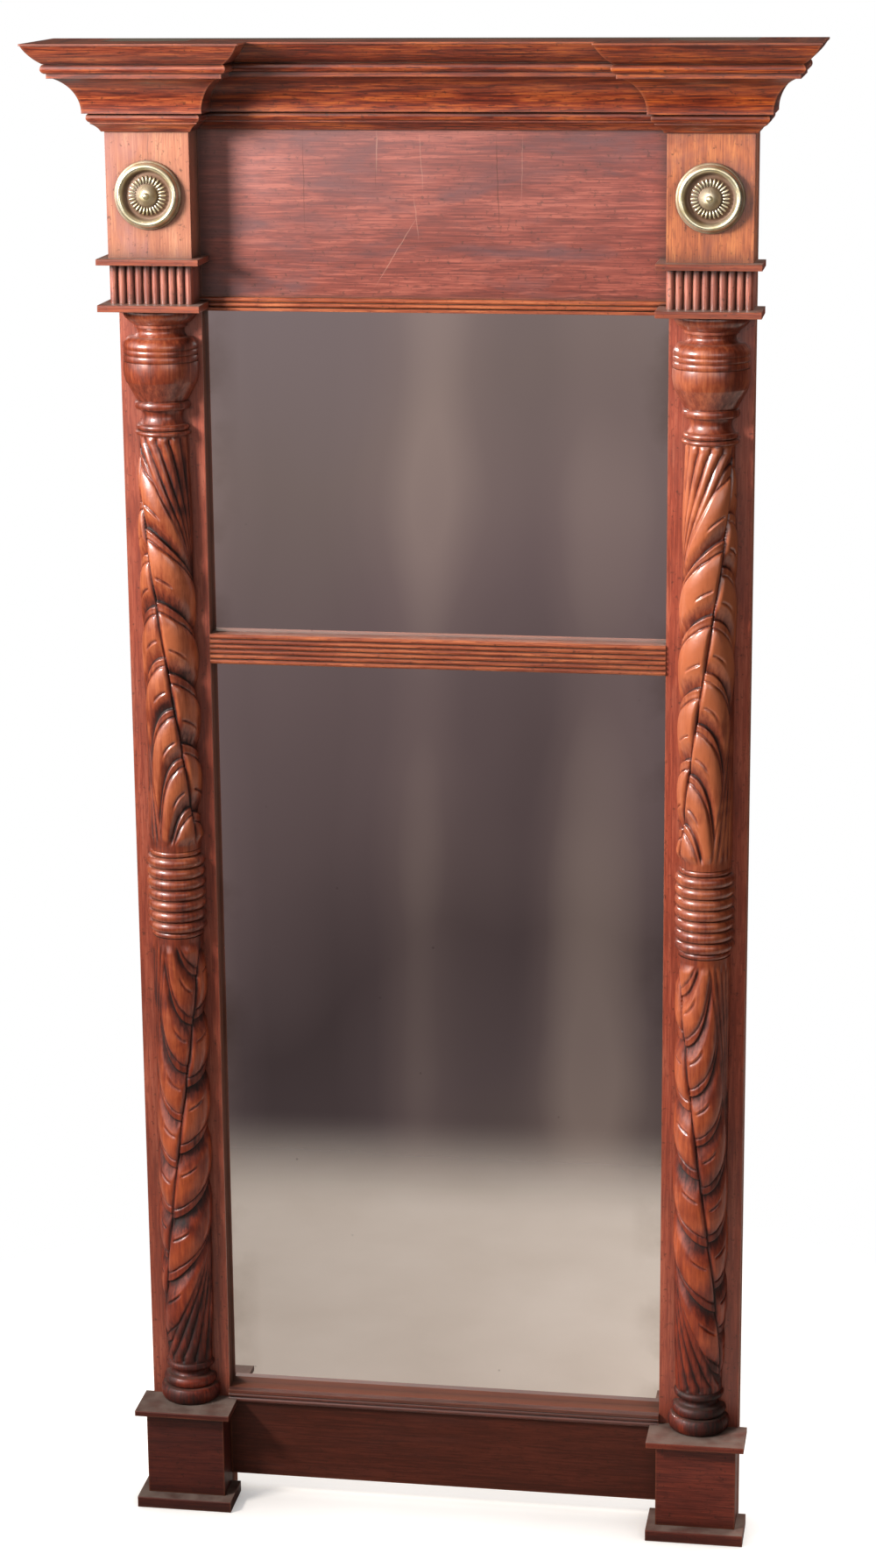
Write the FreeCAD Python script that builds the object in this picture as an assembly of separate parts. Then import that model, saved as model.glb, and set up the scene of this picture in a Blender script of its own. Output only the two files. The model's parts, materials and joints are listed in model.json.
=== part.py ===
import FreeCAD
import Part
import math
import os

from FreeCAD import Vector

# Wall mirror of the federal period: a pine carcass faced with mahogany, two mirror plates, two split
# turned columns on plinths, corner blocks with brass rosettes, and a break-front cornice.
# Millimetres. X is to the viewer's right, Y goes back to the wall, Z is up.
# Heights are counted from the foot. The finished pieces are moved so that the origin lies on the wall,
# on the centre line, level with the pivots of the hanging rings.

# Carcass
frame_half_width = 239.5
stile_width = 63.5
carcass_thickness = 19.0
veneer_thickness = 1.5
tenon_inset = 2.0
tenon_thickness = 6.5
tenon_length = 30.0
tenon_shoulder = 10.0
joint_clearance = 0.1

# Heights of the stack over each stile, foot upwards
base_height = 9.0
plinth_height = 71.5
cap_height = 4.5
column_height = 888.5
lower_plate_height = 5.0
reeded_height = 29.5
upper_plate_height = 4.5
frieze_block_height = 92.5
cornice_height = 65.0

# How far the stack stands in front of the veneered face
block_projection = 27.0
plate_side_overhang = 7.0
plate_front_overhang = 11.0
plate_edge_radius = 1.2
reed_count = 10

# Rails and beads
rail_lift = 17.0
sill_top_height = 93.0
sill_bead_height = 11.0
sight_top_drop = 2.0
frieze_bead_height = 10.0
bead_projection = 5.0

# Divider between the two mirror plates
divider_height = 23.4
divider_middle_height = 711.0
divider_reed_count = 6
divider_stand_proud = 1.6
divider_tenon_length = 15.0
divider_tenon_shoulder = 5.0

# Mirror plates and what holds them
rebate_width = 9.0
rebate_depth = 9.0
glass_thickness = 3.0
glass_clearance = 1.0
glass_joint = 1.5
strip_setback = 1.0
middle_strip_height = 22.0
backboard_thickness = 5.5
backboard_lap = 15.0
backboard_joint = 0.5

# Cut nails through the backboards
nail_edge_distance = 3.0
nail_shank_radius = 0.8
nail_head_radius = 1.8
nail_head_height = 0.8
nail_length = 15.0
nail_pitch = 90.0
nail_clearance = 0.05

# Cornice moulding: projection and height of each member, counted from the block face and its foot
cornice_projection = 49.0
cornice_foot_projection = 2.0
cornice_foot_cove = (8.4, 6.0)
cornice_low_bead = (10.9, 7.0, 13.6)
cornice_low_bead_top = 9.2
cornice_cove_start = (13.4, 15.4)
cornice_cove_middle = (17.4, 28.8)
cornice_cove_end = (30.0, 39.8)
cornice_fillet = (33.4, 43.2)
cornice_high_bead = (37.0, 50.2)
cornice_bead_seat = 34.4
cornice_ovolo_start = 35.6
cornice_ovolo_middle = (42.8, 56.1)
cornice_ovolo_end = (48.0, 63.2)
cornice_lip_foot = 63.6
dust_board_thickness = 4.0

# Brass rosettes: radius and height of each member
rosette_foot_radius = 25.0
rosette_edge_height = 1.0
rosette_rim_height = 7.0
rosette_rim_middle_radius = 22.0
rosette_dish_radius = 17.4
rosette_dish_height = 3.2
rosette_petal_outer_radius = 13.4
rosette_petal_inner_radius = 5.8
rosette_petal_height = 5.6
rosette_petal_dip = 0.8
rosette_petal_count = 24
rosette_petal_groove_radius = 0.8
rosette_boss_radius = 5.2
rosette_boss_height = 8.6
rosette_boss_shoulder = 1.1
rosette_hollow_height = 2.0
rosette_hollow_inner_radius = 18.6
rosette_hollow_outer_radius = 23.6
pin_shank_radius = 1.2
pin_head_radius = 2.4
pin_head_height = 1.6
pin_length = 24.0
pin_clearance = 0.05

# Columns: height and radii of each turned member
foot_torus = (13.4, 21.4, 24.6)
foot_bead = (8.9, 18.6, 21.8)
foot_neck = (6.0, 15.6)
foot_ring = (6.0, 17.6, 20.0)
shaft_radius = 20.0
upper_shaft_height = 325.5
ring_edge_bead = (5.0, 18.4, 20.0)
ring_count = 7
ring_pitch = 8.72
ring_seat_radius = 19.6
ring_crest_radius = 23.3
collar = (8.6, 19.2, 21.6)
collar_neck = (11.1, 16.0, 17.6)
urn_foot_ring = (6.4, 19.8, 21.4)
urn_height = 48.5
urn_foot_radius = 19.6
urn_quarter_radius = 23.8
urn_widest_radius = 28.8
urn_shoulder_radius = 24.4
urn_groove_heights = (30.8, 36.0, 40.6)
urn_groove_radius = 0.9
capital_neck = (7.3, 19.8)
capital_fillet = (4.1, 21.6)
capital_ring = (10.1, 24.6, 27.2)

# Leaves carved on the shafts: each spirals from its root across the shaft to its tip by the ring group,
# with gouge cuts fanning out from the midrib on both sides
leaf_margin = 22.0
leaf_half_turn = 62.0
leaf_lobe_count = 7
leaf_cut_offsets = (26.0, -24.0)
leaf_cut_drops = (17.0, 9.0)
leaf_cut_slopes = (38.0, -62.0)
leaf_cut_radius = 5.5
leaf_cut_depth = 1.8

# Hanging hardware
hang_height = 900.0
ring_wire_radius = 1.6
ring_pivot_clearance = 0.3
ring_half_width = 9.0
ring_arm_drop = 7.0
ring_corner_radius = 3.0
knuckle_wall = 1.3
strap_width = 11.0
strap_length = 45.0
strap_thickness = 1.2
hanger_screw_drops = (25.0, 38.0)
hanger_screw_radius = 1.5
hanger_screw_head_radius = 3.0
hanger_screw_head_height = 2.0
hanger_screw_length = 14.0
hanger_screw_clearance = 0.1

# Levels and planes worked out from the sizes above
sides = {"left": -1, "right": 1}
opening_half = frame_half_width - stile_width
stile_middle = frame_half_width - stile_width / 2
plinth_foot = base_height
cap_foot = plinth_foot + plinth_height
column_foot = cap_foot + cap_height
column_top = column_foot + column_height
reeded_foot = column_top + lower_plate_height
upper_plate_foot = reeded_foot + reeded_height
block_foot = upper_plate_foot + upper_plate_height
cornice_foot = block_foot + frieze_block_height
cornice_top = cornice_foot + cornice_height
carcass_top = cornice_top - dust_board_thickness
sight_top = column_top - sight_top_drop
divider_foot = divider_middle_height - divider_height / 2
divider_top = divider_middle_height + divider_height / 2

knuckle_bore = ring_wire_radius + ring_pivot_clearance
knuckle_radius = knuckle_bore + knuckle_wall
back_y = -2 * knuckle_radius
pine_front_y = back_y - carcass_thickness
face_y = pine_front_y - veneer_thickness
block_front_y = face_y - block_projection
plate_front_y = block_front_y - plate_front_overhang
bead_front_y = face_y - bead_projection
glass_front_y = back_y - rebate_depth
glass_back_y = glass_front_y + glass_thickness
backboard_back_y = back_y + backboard_thickness
tenon_front_y = pine_front_y + tenon_inset
tenon_back_y = tenon_front_y + tenon_thickness

nodes = {}


def box(x_span, y_span, z_span):
    low = [min(span) for span in (x_span, y_span, z_span)]
    size = [abs(span[1] - span[0]) for span in (x_span, y_span, z_span)]
    return Part.makeBox(*size, Vector(*low))


def cylinder(radius, start, direction, length):
    return Part.makeCylinder(radius, length, Vector(*start), Vector(*direction))


def outline(place, start, legs):
    """A closed face: each leg is an end point, or a middle point and an end point of an arc."""
    edges = []
    here = start
    for leg in legs + [start]:
        arc = isinstance(leg[0], tuple)
        end = leg[1] if arc else leg
        if arc:
            edges.append(Part.Arc(place(*here), place(*leg[0]), place(*end)).toShape())
        elif end != here:
            edges.append(Part.makeLine(place(*here), place(*end)))
        here = end
    return Part.Face(Part.Wire(edges))


def side_span(side, inner, outer):
    return (side * inner, side * outer)


def backboard_spans():
    """Foot and top of the lower and the upper backboard."""
    return [(sill_top_height - backboard_lap, divider_middle_height - backboard_joint / 2),
            (divider_middle_height + backboard_joint / 2, sight_top + backboard_lap)]


def nail_places():
    """Nail positions round both backboards, as (x, z), shared by the boards and the carcass."""
    side_x = opening_half + backboard_lap - nail_edge_distance
    places = []
    for foot, top in backboard_spans():
        low = foot + nail_edge_distance
        high = top - nail_edge_distance
        rows = max(1, round((high - low) / nail_pitch))
        heights = [low + (high - low) * row / rows for row in range(rows + 1)]
        places += [(side * side_x, height) for height in heights for side in sides.values()]
    lower, upper = backboard_spans()
    rail_heights = (lower[0] + nail_edge_distance, upper[1] - nail_edge_distance)
    columns = max(1, round(2 * side_x / nail_pitch))
    for column in range(1, columns):
        across = -side_x + 2 * side_x * column / columns
        places += [(across, height) for height in rail_heights]
    return places


def nail_solid(x, z, grow):
    shank = cylinder(nail_shank_radius + grow, (x, backboard_back_y, z), (0, -1, 0), nail_length + grow)
    head = cylinder(nail_head_radius + grow, (x, backboard_back_y, z), (0, -1, 0), nail_head_height + grow)
    return shank.fuse(head).removeSplitter()


def hanger_screw_places(side):
    return [(side * stile_middle, hang_height - drop) for drop in hanger_screw_drops]


def hanger_screw_hole(x, z):
    radius = hanger_screw_radius + hanger_screw_clearance
    depth = hanger_screw_length + hanger_screw_clearance
    return cylinder(radius, (x, back_y + strap_thickness, z), (0, -1, 0), depth)


def tenon(side, foot, top, length, shoulder, grow):
    return box(side_span(side, opening_half - grow, opening_half + length + grow),
               (tenon_front_y - grow, tenon_back_y + grow),
               (foot + shoulder - grow, top - shoulder + grow))


rail_tenons = [(rail_lift, sill_top_height - rebate_width, tenon_length, tenon_shoulder),
               (divider_foot, divider_top, divider_tenon_length, divider_tenon_shoulder),
               (sight_top + rebate_width, carcass_top, tenon_length, tenon_shoulder)]


# Carcass
def make_stile(side):
    stile = box(side_span(side, opening_half, frame_half_width), (pine_front_y, back_y), (0, carcass_top))
    cuts = [box(side_span(side, opening_half, opening_half + rebate_width),
                (glass_front_y, back_y),
                (sill_top_height - rebate_width, sight_top + rebate_width))]
    for foot, top, length, shoulder in rail_tenons:
        cuts.append(tenon(side, foot, top, length, shoulder, joint_clearance))
    for x, z in nail_places():
        if x * side > opening_half:
            cuts.append(nail_solid(x, z, nail_clearance))
    for x, z in hanger_screw_places(side):
        cuts.append(hanger_screw_hole(x, z))
    return stile.cut(cuts)


def make_rail(foot, top, rebate_z, joint):
    rail = box((-opening_half, opening_half), (pine_front_y, back_y), (foot, top))
    rail = rail.cut(box((-opening_half, opening_half), (glass_front_y, back_y), rebate_z))
    rail = rail.fuse([tenon(side, *joint, 0) for side in sides.values()]).removeSplitter()
    holes = [nail_solid(x, z, nail_clearance) for x, z in nail_places()
             if abs(x) < opening_half and foot < z < top]
    return rail.cut(holes)


for name, side in sides.items():
    nodes["stile_" + name] = make_stile(side)
    nodes["stile_veneer_" + name] = box(side_span(side, opening_half, frame_half_width),
                                        (face_y, pine_front_y), (column_foot, column_top))

nodes["bottom_rail"] = make_rail(rail_lift, sill_top_height,
                                 (sill_top_height - rebate_width, sill_top_height), rail_tenons[0])
nodes["top_rail"] = make_rail(sight_top, carcass_top,
                              (sight_top, sight_top + rebate_width), rail_tenons[2])
nodes["rail_veneer"] = box((-opening_half, opening_half), (face_y, pine_front_y),
                           (rail_lift, sill_top_height - sill_bead_height))
nodes["frieze_veneer"] = box((-opening_half, opening_half), (face_y, pine_front_y),
                             (sight_top + frieze_bead_height, carcass_top))


# Beads and the divider bar, cut as long sections
def along_x(face):
    return face.extrude(Vector(2 * opening_half, 0, 0))


def section_place(y, z):
    return Vector(-opening_half, y, z)


def make_bead(foot, height, upward):
    """Fillet at the sight edge, then two half-round beads towards the veneer."""
    fillet = height * 0.24
    bead = (height - fillet) / 2
    sight = foot if upward else foot + height
    step = 1 if upward else -1
    seat_y = face_y - bead_projection * 0.55
    levels = [sight + step * (fillet + bead * count) for count in range(3)]
    legs = [(bead_front_y, sight), (bead_front_y, levels[0]), (seat_y, levels[0])]
    crests = (bead_front_y + bead_projection * 0.1, bead_front_y + bead_projection * 0.2)
    for crest, low, high in zip(crests, levels, levels[1:]):
        legs.append(((crest, (low + high) / 2), (seat_y, high)))
    legs.append((pine_front_y, levels[2]))
    return along_x(outline(section_place, (pine_front_y, sight), legs))


nodes["frieze_bead"] = make_bead(sight_top, frieze_bead_height, True)
nodes["sill_bead"] = make_bead(sill_top_height - sill_bead_height, sill_bead_height, False)


def make_divider():
    front_y = face_y - divider_stand_proud
    reed = divider_height / divider_reed_count
    seat_y = front_y + reed / 2
    legs = [(seat_y, divider_foot)]
    for count in range(divider_reed_count):
        low = divider_foot + count * reed
        legs.append(((front_y, low + reed / 2), (seat_y, low + reed)))
    legs.append((glass_front_y, divider_top))
    bar = along_x(outline(section_place, (glass_front_y, divider_foot), legs))
    return bar.fuse([tenon(side, *rail_tenons[1], 0) for side in sides.values()]).removeSplitter()


nodes["divider_bar"] = make_divider()

# Mirror plates, glazing strips and backboards
plate_half = opening_half + rebate_width - glass_clearance
plate_y = (glass_front_y, glass_back_y)
nodes["upper_mirror"] = box((-plate_half, plate_half), plate_y,
                            (divider_middle_height + glass_joint / 2,
                             sight_top + rebate_width - glass_clearance))
nodes["lower_mirror"] = box((-plate_half, plate_half), plate_y,
                            (sill_top_height - rebate_width + glass_clearance,
                             divider_middle_height - glass_joint / 2))


def make_glazing_strips():
    strip_y = (glass_back_y, back_y)
    inner = opening_half + strip_setback
    foot = sill_top_height - rebate_width
    top = sight_top + rebate_width
    half = middle_strip_height / 2
    middle = (divider_middle_height - half, divider_middle_height + half)
    strips = [box(side_span(side, inner, opening_half + rebate_width), strip_y, (foot, top))
              for side in sides.values()]
    for span in ((foot, sill_top_height - strip_setback), middle, (sight_top + strip_setback, top)):
        strips.append(box((-inner, inner), strip_y, span))
    return Part.makeCompound(strips)


nodes["glazing_strips"] = make_glazing_strips()


def make_backboard(z_span):
    half = opening_half + backboard_lap
    board = box((-half, half), (back_y, backboard_back_y), z_span)
    return board.cut([nail_solid(x, z, nail_clearance) for x, z in nail_places()
                      if z_span[0] < z < z_span[1]])


for name, z_span in zip(("lower_backboard", "upper_backboard"), backboard_spans()):
    nodes[name] = make_backboard(z_span)
nodes["backboard_nails"] = Part.makeCompound([nail_solid(x, z, 0) for x, z in nail_places()])


# Plinths, plates and blocks stacked on each stile
def make_block(side, foot, height):
    return box(side_span(side, opening_half, frame_half_width), (block_front_y, pine_front_y),
               (foot, foot + height))


def make_plate(side, foot, height):
    plate = box(side_span(side, opening_half - plate_side_overhang, frame_half_width + plate_side_overhang),
                (plate_front_y, pine_front_y), (foot, foot + height))
    upper_front = [edge for edge in plate.Edges
                   if edge.BoundBox.ZMin > foot + height / 2
                   and edge.BoundBox.YMax < pine_front_y - plate_edge_radius]
    return plate.makeFillet(min(plate_edge_radius, height * 0.45), upper_front)


def make_inner_plate(side, foot, height, stop_y):
    """A plate whose inner end stops against the bead or veneer that crosses the opening."""
    room = box((-opening_half, opening_half), (stop_y, pine_front_y), (foot, foot + height))
    return make_plate(side, foot, height).cut(room)


def make_reeded_block(side):
    reed = stile_width / reed_count
    seat_y = block_front_y + reed / 2
    start_x = -frame_half_width if side < 0 else opening_half

    def place(x, y):
        return Vector(x, y, reeded_foot)

    legs = [(start_x, seat_y)]
    for count in range(reed_count):
        x = start_x + count * reed
        legs.append(((x + reed / 2, block_front_y), (x + reed, seat_y)))
    legs.append((start_x + stile_width, pine_front_y))
    return outline(place, (start_x, pine_front_y), legs).extrude(Vector(0, 0, reeded_height))


for name, side in sides.items():
    nodes["plinth_base_" + name] = make_plate(side, 0, base_height)
    nodes["plinth_block_" + name] = make_block(side, plinth_foot, plinth_height)
    nodes["plinth_cap_" + name] = make_inner_plate(side, cap_foot, cap_height, bead_front_y)
    nodes["lower_plate_" + name] = make_inner_plate(side, column_top, lower_plate_height, bead_front_y)
    nodes["reeded_block_" + name] = make_reeded_block(side)
    nodes["upper_plate_" + name] = make_inner_plate(side, upper_plate_foot, upper_plate_height, face_y)


# Brass rosettes, each held by a pin in its corner block
rosette_height = block_foot + frieze_block_height / 2


def make_pin(side, grow):
    top_y = block_front_y - rosette_boss_height
    start = (side * stile_middle, top_y, rosette_height)
    shank = cylinder(pin_shank_radius + grow, start, (0, 1, 0), pin_length + grow)
    if grow:
        return shank
    cap_radius = (pin_head_radius ** 2 + pin_head_height ** 2) / (2 * pin_head_height)
    cap_middle = Vector(start[0], top_y - pin_head_height + cap_radius, rosette_height)
    cap = Part.makeSphere(cap_radius, cap_middle)
    room = cylinder(pin_head_radius, (start[0], top_y - pin_head_height, rosette_height), (0, 1, 0),
                    pin_head_height)
    return shank.fuse(cap.common(room)).removeSplitter()


def make_rosette(side):
    middle = Vector(side * stile_middle, block_front_y, rosette_height)

    def place(radius, height):
        return Vector(middle.x + radius, middle.y - height, middle.z)

    rim_foot = (rosette_foot_radius, rosette_edge_height)
    rim_top = (rosette_rim_middle_radius, rosette_rim_height)
    dish_edge = (rosette_dish_radius, rosette_dish_height)
    petal_foot = (rosette_petal_outer_radius, rosette_dish_height)
    petal_heel = (rosette_petal_inner_radius, rosette_petal_height - rosette_petal_dip)
    petal_bend = ((petal_foot[0] + petal_heel[0]) / 2, rosette_petal_height)
    boss_foot = (rosette_boss_radius, rosette_petal_height - rosette_petal_dip)
    boss_bend = (rosette_boss_radius * 0.86, rosette_boss_height - rosette_boss_shoulder)
    face = outline(place, (0, 0), [
        (rosette_hollow_inner_radius, 0), (rosette_hollow_inner_radius, rosette_hollow_height),
        (rosette_hollow_outer_radius, rosette_hollow_height), (rosette_hollow_outer_radius, 0),
        (rosette_foot_radius, 0), rim_foot, (rim_top, dish_edge), petal_foot, (petal_bend, petal_heel),
        boss_foot, (boss_bend, (pin_head_radius, rosette_boss_height)), (0, rosette_boss_height)])
    rosette = face.revolve(middle, Vector(0, 1, 0), 360)
    cuts = [make_pin(side, pin_clearance)]
    for count in range(rosette_petal_count):
        angle = 2 * math.pi * count / rosette_petal_count
        radial = Vector(math.cos(angle), 0, math.sin(angle))
        start = middle + radial * rosette_petal_inner_radius - Vector(0, rosette_petal_height, 0)
        slope = Vector(0, (rosette_petal_height - rosette_dish_height) * 0.55, 0)
        run = radial * (rosette_petal_outer_radius - rosette_petal_inner_radius) + slope
        cuts.append(Part.makeCylinder(rosette_petal_groove_radius, run.Length, start, run))
    return rosette.cut(cuts)


for name, side in sides.items():
    block = make_block(side, block_foot, frieze_block_height)
    nodes["frieze_block_" + name] = block.cut(make_pin(side, pin_clearance))
    nodes["rosette_" + name] = make_rosette(side)
    nodes["rosette_pin_" + name] = make_pin(side, 0)


# Half columns: one turned piece each, split along its length and glued to the stile
def column_members():
    """Members from the foot up: height, then radius at foot, halfway (None if straight) and top."""
    def bulge(size):
        return (size[0], size[1], size[2], size[1])

    def straight(size):
        return (size[0], size[1], None, size[1])

    shaft = (upper_shaft_height, shaft_radius, None, shaft_radius)
    group = [bulge(ring_edge_bead)]
    group += [(ring_pitch, ring_seat_radius, ring_crest_radius, ring_seat_radius)] * ring_count
    group += [bulge(ring_edge_bead)]
    head = [(collar[0], collar[1], None, collar[2]), (collar_neck[0], collar_neck[1], None, collar_neck[2]),
            bulge(urn_foot_ring), "urn", straight(capital_neck), straight(capital_fillet),
            bulge(capital_ring)]
    foot = [bulge(foot_torus), bulge(foot_bead), straight(foot_neck), bulge(foot_ring)]
    fixed = sum(urn_height if member == "urn" else member[0] for member in foot + group + head)
    lower_shaft = (column_height - fixed - upper_shaft_height,) + shaft[1:]
    return foot + [lower_shaft] + group + [shaft] + head


def urn_legs(foot):
    grooves = [foot + height for height in urn_groove_heights]
    widest = grooves[0] - urn_groove_radius
    legs = [(urn_foot_radius, foot),
            ((urn_quarter_radius, foot + (widest - foot) * 0.3), (urn_widest_radius, widest))]
    for height in grooves:
        legs += [(urn_widest_radius, height - urn_groove_radius),
                 ((urn_widest_radius - urn_groove_radius, height),
                  (urn_widest_radius, height + urn_groove_radius))]
    last = grooves[-1] + urn_groove_radius
    top = foot + urn_height
    bend = (urn_widest_radius * 0.97, last + (top - last) * 0.6)
    return legs + [(bend, (urn_shoulder_radius, top))]


def make_column(side):
    axis_x = side * stile_middle

    def place(radius, z):
        return Vector(axis_x + radius, face_y, z)

    z = column_foot
    legs = []
    for member in column_members():
        if member == "urn":
            legs += urn_legs(z)
            z += urn_height
            continue
        height, low, middle, high = member
        legs.append((low, z))
        if middle is None:
            legs.append((high, z + height))
        else:
            legs.append(((middle, z + height / 2), (high, z + height)))
        z += height
    legs.append((0, z))
    face = outline(place, (0, column_foot), legs)
    return face.revolve(Vector(axis_x, face_y, 0), Vector(0, 0, 1), -180)


def leaf_spans():
    """Root and tip height of the upper and the lower leaf, a margin inside each shaft."""
    members = column_members()
    foot_end = column_foot + sum(member[0] for member in members[:4])
    rings_foot = foot_end + members[4][0]
    rings_top = rings_foot + 2 * ring_edge_bead[0] + ring_count * ring_pitch
    upper_end = rings_top + upper_shaft_height
    return [(upper_end - leaf_margin, rings_top + leaf_margin),
            (foot_end + leaf_margin, rings_foot - leaf_margin)]


def leaf_cuts(side, root, tip):
    """Straight gouge cuts, each laid on the shaft across the lie of the leaf."""
    growth = 1 if tip > root else -1
    reach = shaft_radius * 2
    cuts = []
    for lobe in range(leaf_lobe_count):
        share = (lobe + 0.5) / leaf_lobe_count
        midrib = leaf_half_turn * (2 * share - 1)
        for offset, drop, slope in zip(leaf_cut_offsets, leaf_cut_drops, leaf_cut_slopes):
            turn = math.radians(-side * (midrib + offset))
            outward = Vector(math.sin(turn), -math.cos(turn), 0)
            around = Vector(math.cos(turn), math.sin(turn), 0)
            tilt = math.radians(slope)
            lie = around * (-side * math.sin(tilt)) + Vector(0, 0, growth * math.cos(tilt))
            foot = Vector(side * stile_middle, face_y, root + (tip - root) * share + growth * drop)
            middle = foot + outward * (shaft_radius + leaf_cut_radius - leaf_cut_depth)
            cuts.append(Part.makeCylinder(leaf_cut_radius, 2 * reach, middle - lie * reach, lie))
    return cuts


for name, side in sides.items():
    carving = [cut for root, tip in leaf_spans() for cut in leaf_cuts(side, root, tip)]
    nodes["column_" + name] = make_column(side).cut(carving)

# Cornice: one moulding, mitred round the two break fronts, on pine cores
corners = [(-frame_half_width, back_y), (-frame_half_width, block_front_y), (-opening_half, block_front_y),
           (-opening_half, face_y), (opening_half, face_y), (opening_half, block_front_y),
           (frame_half_width, block_front_y), (frame_half_width, back_y)]
cornice_runs = ["side_left", "front_left", "return_left", "centre", "return_right", "front_right",
                "side_right"]


def cornice_legs():
    bead_out, bead_low, bead_high = cornice_low_bead
    bead_middle = (bead_low + bead_high) / 2
    foot_out, foot_top = cornice_foot_cove
    cove_bend = (cornice_foot_projection + (foot_out - cornice_foot_projection) * 0.45, foot_top * 0.62)
    high_out, high_top = cornice_high_bead
    high_middle = (cornice_fillet[1] + high_top) / 2
    return [(cornice_foot_projection, 0), (cove_bend, (foot_out, foot_top)), (foot_out, bead_low),
            ((bead_out, bead_middle), (cornice_low_bead_top, bead_high)), (cornice_cove_start[0], bead_high),
            cornice_cove_start, (cornice_cove_middle, cornice_cove_end),
            (cornice_fillet[0], cornice_cove_end[1]), cornice_fillet, (cornice_bead_seat, cornice_fillet[1]),
            ((high_out, high_middle), (cornice_bead_seat, high_top)), (cornice_ovolo_start, high_top),
            (cornice_ovolo_middle, cornice_ovolo_end), (cornice_ovolo_end[0], cornice_lip_foot),
            (cornice_projection, cornice_lip_foot), (cornice_projection, cornice_height),
            (0, cornice_height)]


def mitre_cutter(corner, along, outward):
    """A large block beyond the mitre plane through a corner."""
    reach = 4 * cornice_projection + 2 * block_projection
    cutter = Part.makeBox(reach, 2 * reach, 2 * reach, Vector(0, -reach, -reach))
    normal = Vector(along.x - outward.x, along.y - outward.y, 0)
    cutter.rotate(Vector(0, 0, 0), Vector(0, 0, 1), math.degrees(math.atan2(normal.y, normal.x)))
    cutter.translate(Vector(corner[0], corner[1], cornice_foot))
    return cutter


def make_cornice_run(index):
    start = Vector(*corners[index], 0)
    end = Vector(*corners[index + 1], 0)
    along = (end - start).normalize()
    outward = Vector(along.y, -along.x, 0)
    spare = cornice_projection * 1.5
    first = index == 0
    last = index == len(cornice_runs) - 1
    base = start - along * (0 if first else spare)
    tail = end + along * (0 if last else spare)

    def place(out, height):
        return base + outward * out + Vector(0, 0, cornice_foot + height)

    run = outline(place, (0, 0), cornice_legs()).extrude(tail - base)
    if not first:
        before = Vector(*corners[index - 1], 0)
        turn = outward.dot((start - before).normalize())
        sideways = outward if turn < 0 else outward * -1
        run = run.cut(mitre_cutter(corners[index], along * -1, sideways * -1))
    if not last:
        after = Vector(*corners[index + 2], 0)
        turn = outward.dot((after - end).normalize())
        sideways = outward if turn < 0 else outward * -1
        run = run.cut(mitre_cutter(corners[index + 1], along, sideways))
    return run


for index, name in enumerate(cornice_runs):
    nodes["cornice_" + name] = make_cornice_run(index)

for name, side in sides.items():
    nodes["cornice_core_" + name] = box(side_span(side, opening_half, frame_half_width),
                                        (block_front_y, pine_front_y), (cornice_foot, carcass_top))

plan = [Vector(x, y, carcass_top) for x, y in corners]
plan_face = Part.Face(Part.makePolygon(plan + plan[:1]))
nodes["dust_board"] = plan_face.extrude(Vector(0, 0, dust_board_thickness))


# Hanging hardware on the back of the stiles
pivot_y = back_y + knuckle_radius


def make_strap(side):
    middle = side * stile_middle
    half = strap_width / 2
    plate = box((middle - half, middle + half), (back_y, back_y + strap_thickness),
                (hang_height - strap_length, hang_height))
    start = (middle - half, pivot_y, hang_height)
    knuckle = cylinder(knuckle_radius, start, (1, 0, 0), strap_width)
    strap = plate.fuse(knuckle).cut(cylinder(knuckle_bore, start, (1, 0, 0), strap_width))
    return strap.cut([hanger_screw_hole(x, z) for x, z in hanger_screw_places(side)])


def make_ring(side):
    middle = side * stile_middle
    corner = ring_corner_radius
    slack = corner * (1 - math.sqrt(0.5))
    half = ring_half_width
    drop = ring_arm_drop

    def place(x, z):
        return Vector(middle + x, pivot_y, hang_height + z)

    path = Part.Wire([
        Part.makeLine(place(0, 0), place(half - corner, 0)),
        Part.Arc(place(half - corner, 0), place(half - slack, -slack), place(half, -corner)).toShape(),
        Part.makeLine(place(half, -corner), place(half, -drop)),
        Part.Arc(place(half, -drop), place(0, -drop - half), place(-half, -drop)).toShape(),
        Part.makeLine(place(-half, -drop), place(-half, -corner)),
        Part.Arc(place(-half, -corner), place(slack - half, -slack), place(corner - half, 0)).toShape(),
        Part.makeLine(place(corner - half, 0), place(0, 0))])
    section = Part.Wire(Part.makeCircle(ring_wire_radius, place(0, 0), Vector(1, 0, 0)))
    return path.makePipeShell([section], True, True)


def make_hanger_screw(x, z):
    head_y = back_y + strap_thickness
    shank = cylinder(hanger_screw_radius, (x, head_y, z), (0, -1, 0), hanger_screw_length)
    head = cylinder(hanger_screw_head_radius, (x, head_y, z), (0, 1, 0), hanger_screw_head_height)
    rim = [edge for edge in head.Edges if edge.BoundBox.YMin > head_y + hanger_screw_head_height / 2]
    head = head.makeFillet(hanger_screw_head_height * 0.6, rim)
    return shank.fuse(head).removeSplitter()


screws = []
for name, side in sides.items():
    nodes["hanger_strap_" + name] = make_strap(side)
    nodes["hanger_ring_" + name] = make_ring(side)
    screws += [make_hanger_screw(x, z) for x, z in hanger_screw_places(side)]
nodes["hanger_screws"] = Part.makeCompound(screws)

os.makedirs("parts", exist_ok=True)
for name, shape in nodes.items():
    placed = shape.copy()
    placed.translate(Vector(0, 0, -hang_height))
    placed.exportStep("parts/" + name + ".step")
    print(name, "solids", len(placed.Solids), "valid", placed.isValid(), "volume", round(placed.Volume))
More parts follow.
